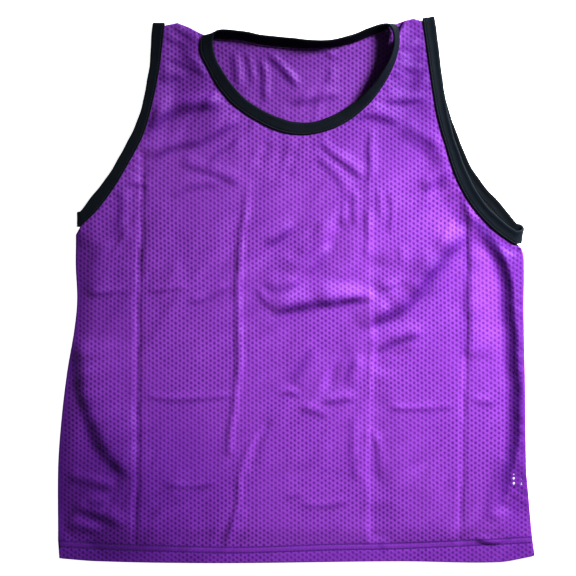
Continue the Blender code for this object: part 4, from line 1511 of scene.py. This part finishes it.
purpleFront = {
    "colour": (0.29, 0.056, 0.53), "roughness": 0.55, "gloss": 0.5,
    "sheen": 0.06, "sheenRoughness": 0.45, "sheenTint": (0.95, 0.65, 1.0, 1.0),
    "deepening": (1.0, 1.9, 0.7),       # powers of the tone for red, green and blue
    "columnGap": 0.00405, "holeGap": 0.00525, "holeSize": 0.0016, "stretchedHole": 0.0027,
    "wander": 0.0008, "ribGap": 0.00082, "loopGap": 0.00066,
    # the tones after the hole sizes paint shade round and in the holes, in the hem's grooves and on
    # the folds, and a highlight between the holes
    "uneven": 0.10, "patchScale": 16.0, "opening": (0.35, 0.65), "veil": 0.84, "dotDark": 0.12,
    "rimTone": 0.56, "faintest": 0.4, "paintedGlintTone": 1.25, "grooveTone": 0.45, "paintedShadeTone": 0.55,
    "relief": 0.42, "reliefDepth": 0.0006, "knitHeight": 0.35, "crumple": 18.0,
}
# the back is the same cloth as the front, its colour painted darker as shade
purpleBack = {**purpleFront, "colour": (0.25, 0.045, 0.46), "wander": 0.0009}
slateTape = {
    "colour": (0.009, 0.0150, 0.0235), "roughness": 0.6, "gloss": 0.13,
    "sheen": 0.03, "sheenRoughness": 0.4, "sheenTint": (0.55, 0.75, 1.0, 1.0),
    "deepening": (1.0, 1.0, 1.0),
    "ribGap": 0.0009, "loopGap": 0.0008, "uneven": 0.2, "patchScale": 40.0, "relief": 0.5,
    "reliefDepth": 0.0003, "shadedTone": 0.55,
}
whiteLabel = {
    "colour": (0.84, 0.84, 0.86), "roughness": 0.45, "gloss": 0.5,
    "sheen": 0.1, "sheenRoughness": 0.4, "sheenTint": (1.0, 1.0, 1.0, 1.0),
    "deepening": (1.0, 1.0, 1.0),
    "ribGap": 0.0003, "loopGap": 0.0004, "uneven": 0.03, "patchScale": 40.0, "relief": 0.3,
    "reliefDepth": 0.0003, "shadedTone": 1.0,
    "glowTint": (1.0, 1.0, 1.0, 1.0), "glow": 1.0,      # painted light: the label glows, to show bright through the holes
}
purpleYarn = {
    "colour": (0.10, 0.02, 0.22), "roughness": 0.6, "sheen": 0.2, "deepening": (1.0, 1.0, 1.0),
    "uneven": 0.12, "patchScale": 90.0, "twist": 900.0, "twistTones": (0.75, 1.1),
    "relief": 0.4, "reliefDepth": 0.0001,
}
slateYarn = {**purpleYarn, "colour": (0.006, 0.008, 0.013)}

frontMesh = clothMaterial("purpleMeshFront", purpleFront)
backMesh = clothMaterial("purpleMeshBack", purpleBack)
slateRib = tapeMaterial("slateRibTape", slateTape)
glowingLabelWeave = tapeMaterial("glowingWhiteLabel", whiteLabel)
purpleThread = threadMaterial("purpleThread", purpleYarn)
slateThread = threadMaterial("slateThread", slateYarn)
print("materials made")

frontPiece = makePanel("front_cloth", frontCloth, "front", frontSurface, frontMesh, 1.0)
backPiece = makePanel("back_cloth", backCloth, "back", backSurface, backMesh, -1.0)
print("panels made")

neckPiece = sweepTape("neck_tape", neckBand, slateRib, 0.7)
leftPiece = sweepTape("armhole_tape_left", leftBand, slateRib, 1.9)
rightPiece = sweepTape("armhole_tape_right", rightBand, slateRib, 3.1)
for tapePiece in (neckPiece, leftPiece, rightPiece):
    area = sum(p.area for p in tapePiece.data.polygons) / 2
    print(tapePiece.name, "area", round(area, 5))
print("lengths", [round(b["arc"][-1]) for b in (neckBand, leftBand, rightBand)])


# a folded loop of label tape, its cut ends in the seam
def makeLabel(name, material):
    width, tall = careLabel["size"]
    left = careLabel["middle"][0] - width / 2
    low = careLabel["middle"][1] - tall / 2
    wall, halfGap, rows = (careLabel[key] for key in ("wall", "halfGap", "rows"))
    straight = [width * k / 6 for k in (6, 5, 4, 3, 2, 1)]
    path = [(x, -1.0) for x in straight]
    path += [((1.0 - math.sin(a)) * 0.8, -math.cos(a)) for a in np.linspace(0.0, math.pi, 9)]
    path += [(x, 1.0) for x in straight[::-1]]
    path = np.array([(left + x, careLabel["level"] + halfGap * side) for x, side in path])
    run = unit(np.gradient(path, axis=0))
    normal = np.stack([-run[:, 1], run[:, 0]], 1)
    arc = np.concatenate([[0.0], np.cumsum(np.linalg.norm(np.diff(path, axis=0), axis=1))])
    verts, cut = [], []
    for side in (-1.0, 1.0):
        for r in range(rows):
            y = low + tall * r / (rows - 1)
            wave = 0.08 * math.sin(y * 0.9)
            for k, p in enumerate(path):
                verts.append((p[0] + normal[k, 0] * wall / 2 * side, y,
                              p[1] + wave + normal[k, 1] * wall / 2 * side))
                cut.append((arc[k] * mm, y * mm))
    size, half = len(path), len(path) * rows
    faces = []
    for r in range(rows - 1):
        for k in range(size - 1):
            a = r * size + k
            faces.append((a, a + size, a + size + 1, a + 1))
            faces.append((half + a, half + a + 1, half + a + size + 1, half + a + size))
    loop = [(0, k) for k in range(size)] + [(r, size - 1) for r in range(1, rows)]
    loop += [(rows - 1, k) for k in range(size - 2, -1, -1)]
    loop += [(r, 0) for r in range(rows - 2, 0, -1)]
    for (r0, k0), (r1, k1) in zip(loop, loop[1:] + loop[:1]):
        a, b = r0 * size + k0, r1 * size + k1
        faces.append((a, b, b + half, a + half))
    cut = np.array(cut)
    bake = cut - cut.min(0)
    bake = bake / bake.max() * 0.45 + 0.02
    bake[half:, 0] += 0.5
    return makeMesh(name, np.array(verts), faces, material, cut, bake)


labelPiece = makeLabel("blank_label", glowingLabelWeave)
neckStitches = tapeStitches("neck_stitches", neckBand, slateThread)
leftStitches = tapeStitches("armhole_stitches_left", leftBand, slateThread)
rightStitches = tapeStitches("armhole_stitches_right", rightBand, slateThread)
frontHemStitches = hemStitches("hem_stitches_front", frontSurface, purpleThread, 1.0)
backHemStitches = hemStitches("hem_stitches_back", backSurface, purpleThread, -1.0)
print("stitches made")

standsFor = (
    (frontPiece, "front_panel", "mesh_cloth"),
    (backPiece, "back_panel", "mesh_cloth"),
    (neckPiece, "neck_binding", "rib_tape"),
    (leftPiece, "armhole_binding_left", "rib_tape"),
    (rightPiece, "armhole_binding_right", "rib_tape"),
    (labelPiece, "care_label", "label_tape"),
)
for piece, node, slotName in standsFor:
    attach(piece, "root")
    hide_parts(node)
for piece, slotName in ((neckStitches, "rib_tape"), (leftStitches, "rib_tape"),
                        (rightStitches, "rib_tape"), (frontHemStitches, "mesh_cloth"),
                        (backHemStitches, "mesh_cloth")):
    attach(piece, "root")


studio = {
    "floorSize": 12.0,
    "floorLevel": -0.0001,
    "floorColour": (0.95, 0.95, 0.95),
    "shadeColour": (0.55, 0.25, 0.8),       # where only purple light comes through
    "shadeCentre": (0.0, 260.0),
    "shadeScale": 0.988,
    "floorGlow": 0.95,
    "fill": 0.07,
    "keyPlace": (1.05, 0.86, 0.70),
    "keyAim": (0.175, -0.035, 0.0),
    "keySpread": 49.0,
    "keySize": 0.4,
    "keyPower": 5.5,
    "filmGamma": 0.8,           # a camera's steeper tone
}


def paper(name, glow, colour):
    material = bpy.data.materials.new(name)
    material.use_nodes = True
    shader = material.node_tree.nodes["Principled BSDF"]
    shader.inputs["Base Color"].default_value = (*colour, 1.0)
    shader.inputs["Roughness"].default_value = 0.9
    shader.inputs["Specular IOR Level"].default_value = 0.0
    shader.inputs["Emission Color"].default_value = (1.0, 1.0, 1.0, 1.0)
    shader.inputs["Emission Strength"].default_value = glow
    return material


# white paper, lit from below all round the garment but not under it
def makeFloor():
    size, low = studio["floorSize"] / 2, studio["floorLevel"]
    square = [(-size, -size), (size, -size), (size, size), (-size, size)]
    inner = [edgeLine(name, 25.0) for name in ("hem", "sideRight")]
    inner += [bandPoint(band, band["back"], band["width"][band["back"]] * 0.5)[::6]
              for band in allBands]
    inner = np.concatenate([*inner, edgeLine("sideLeft", 25.0)])[:, :2]
    inner = (inner - studio["shadeCentre"]) * studio["shadeScale"] + studio["shadeCentre"]
    inner = toWorld(np.column_stack([inner, np.zeros(len(inner))]))[:, :2]
    points = square + [tuple(p) for p in inner.tolist()]
    count = len(points)
    edges = [(i, (i + 1) % 4) for i in range(4)]
    edges += [(i, i + 1 if i + 1 < count else 4) for i in range(4, count)]
    made = delaunay_2d_cdt(points, edges, [], 0, 1e-7)
    flat, faces = np.array([tuple(p) for p in made[0]]), [list(f) for f in made[2]]
    mesh = bpy.data.meshes.new("floor")
    mesh.from_pydata([(p[0], p[1], low) for p in flat.tolist()], [], faces)
    mesh.materials.append(paper("whitePaper", studio["floorGlow"], studio["floorColour"]))
    mesh.materials.append(paper("shadedPaper", 0.0, studio["shadeColour"]))
    middles = np.array([flat[f].mean(0) for f in faces])
    under = insideRing(middles[:, 0], middles[:, 1], inner)
    mesh.polygons.foreach_set("material_index", under.astype(np.int32))
    floor = bpy.data.objects.new("floor", mesh)
    bpy.context.scene.collection.objects.link(floor)
    return floor


def aim(thing, target):
    direction = np.array(target, float) - np.array(thing.location, float)
    flat = math.hypot(direction[0], direction[1])
    thing.rotation_euler = (math.atan2(flat, -direction[2]), 0.0,
                            math.atan2(direction[1], direction[0]) - math.pi / 2)


def lightStudio():
    scene = bpy.context.scene
    world = bpy.data.worlds.new("softFill")
    world.use_nodes = True
    background = world.node_tree.nodes["Background"]
    background.inputs["Color"].default_value = (1.0, 1.0, 1.0, 1.0)
    background.inputs["Strength"].default_value = studio["fill"]
    scene.world = world
    key = bpy.data.objects.new("keyLight", bpy.data.lights.new("keyLight", "AREA"))
    key.data.shape = "DISK"
    key.data.size = studio["keySize"]
    key.data.energy = studio["keyPower"]
    key.data.spread = math.radians(studio["keySpread"])
    key.location = studio["keyPlace"]
    aim(key, studio["keyAim"])
    scene.collection.objects.link(key)
    scene.view_settings.view_transform = "Standard"
    scene.view_settings.look = "None"
    scene.view_settings.gamma = studio["filmGamma"]


photoCamera = {
    "middle": (-0.0085, 0.0014, 0.004),
    "frameWidth": 0.6048,
    "lens": 100.0,
    "sensor": 36.0,
}


def makeCamera():
    camera = bpy.data.objects.new("camera", bpy.data.cameras.new("camera"))
    camera.data.lens = photoCamera["lens"]
    camera.data.sensor_width = photoCamera["sensor"]
    x, y, z = photoCamera["middle"]
    away = photoCamera["frameWidth"] * photoCamera["lens"] / photoCamera["sensor"]
    camera.location = (x, y, z + away)
    camera.rotation_euler = (0.0, 0.0, 0.0)
    bpy.context.scene.collection.objects.link(camera)
    bpy.context.scene.camera = camera


makeFloor()
lightStudio()
makeCamera()
print("stage made")
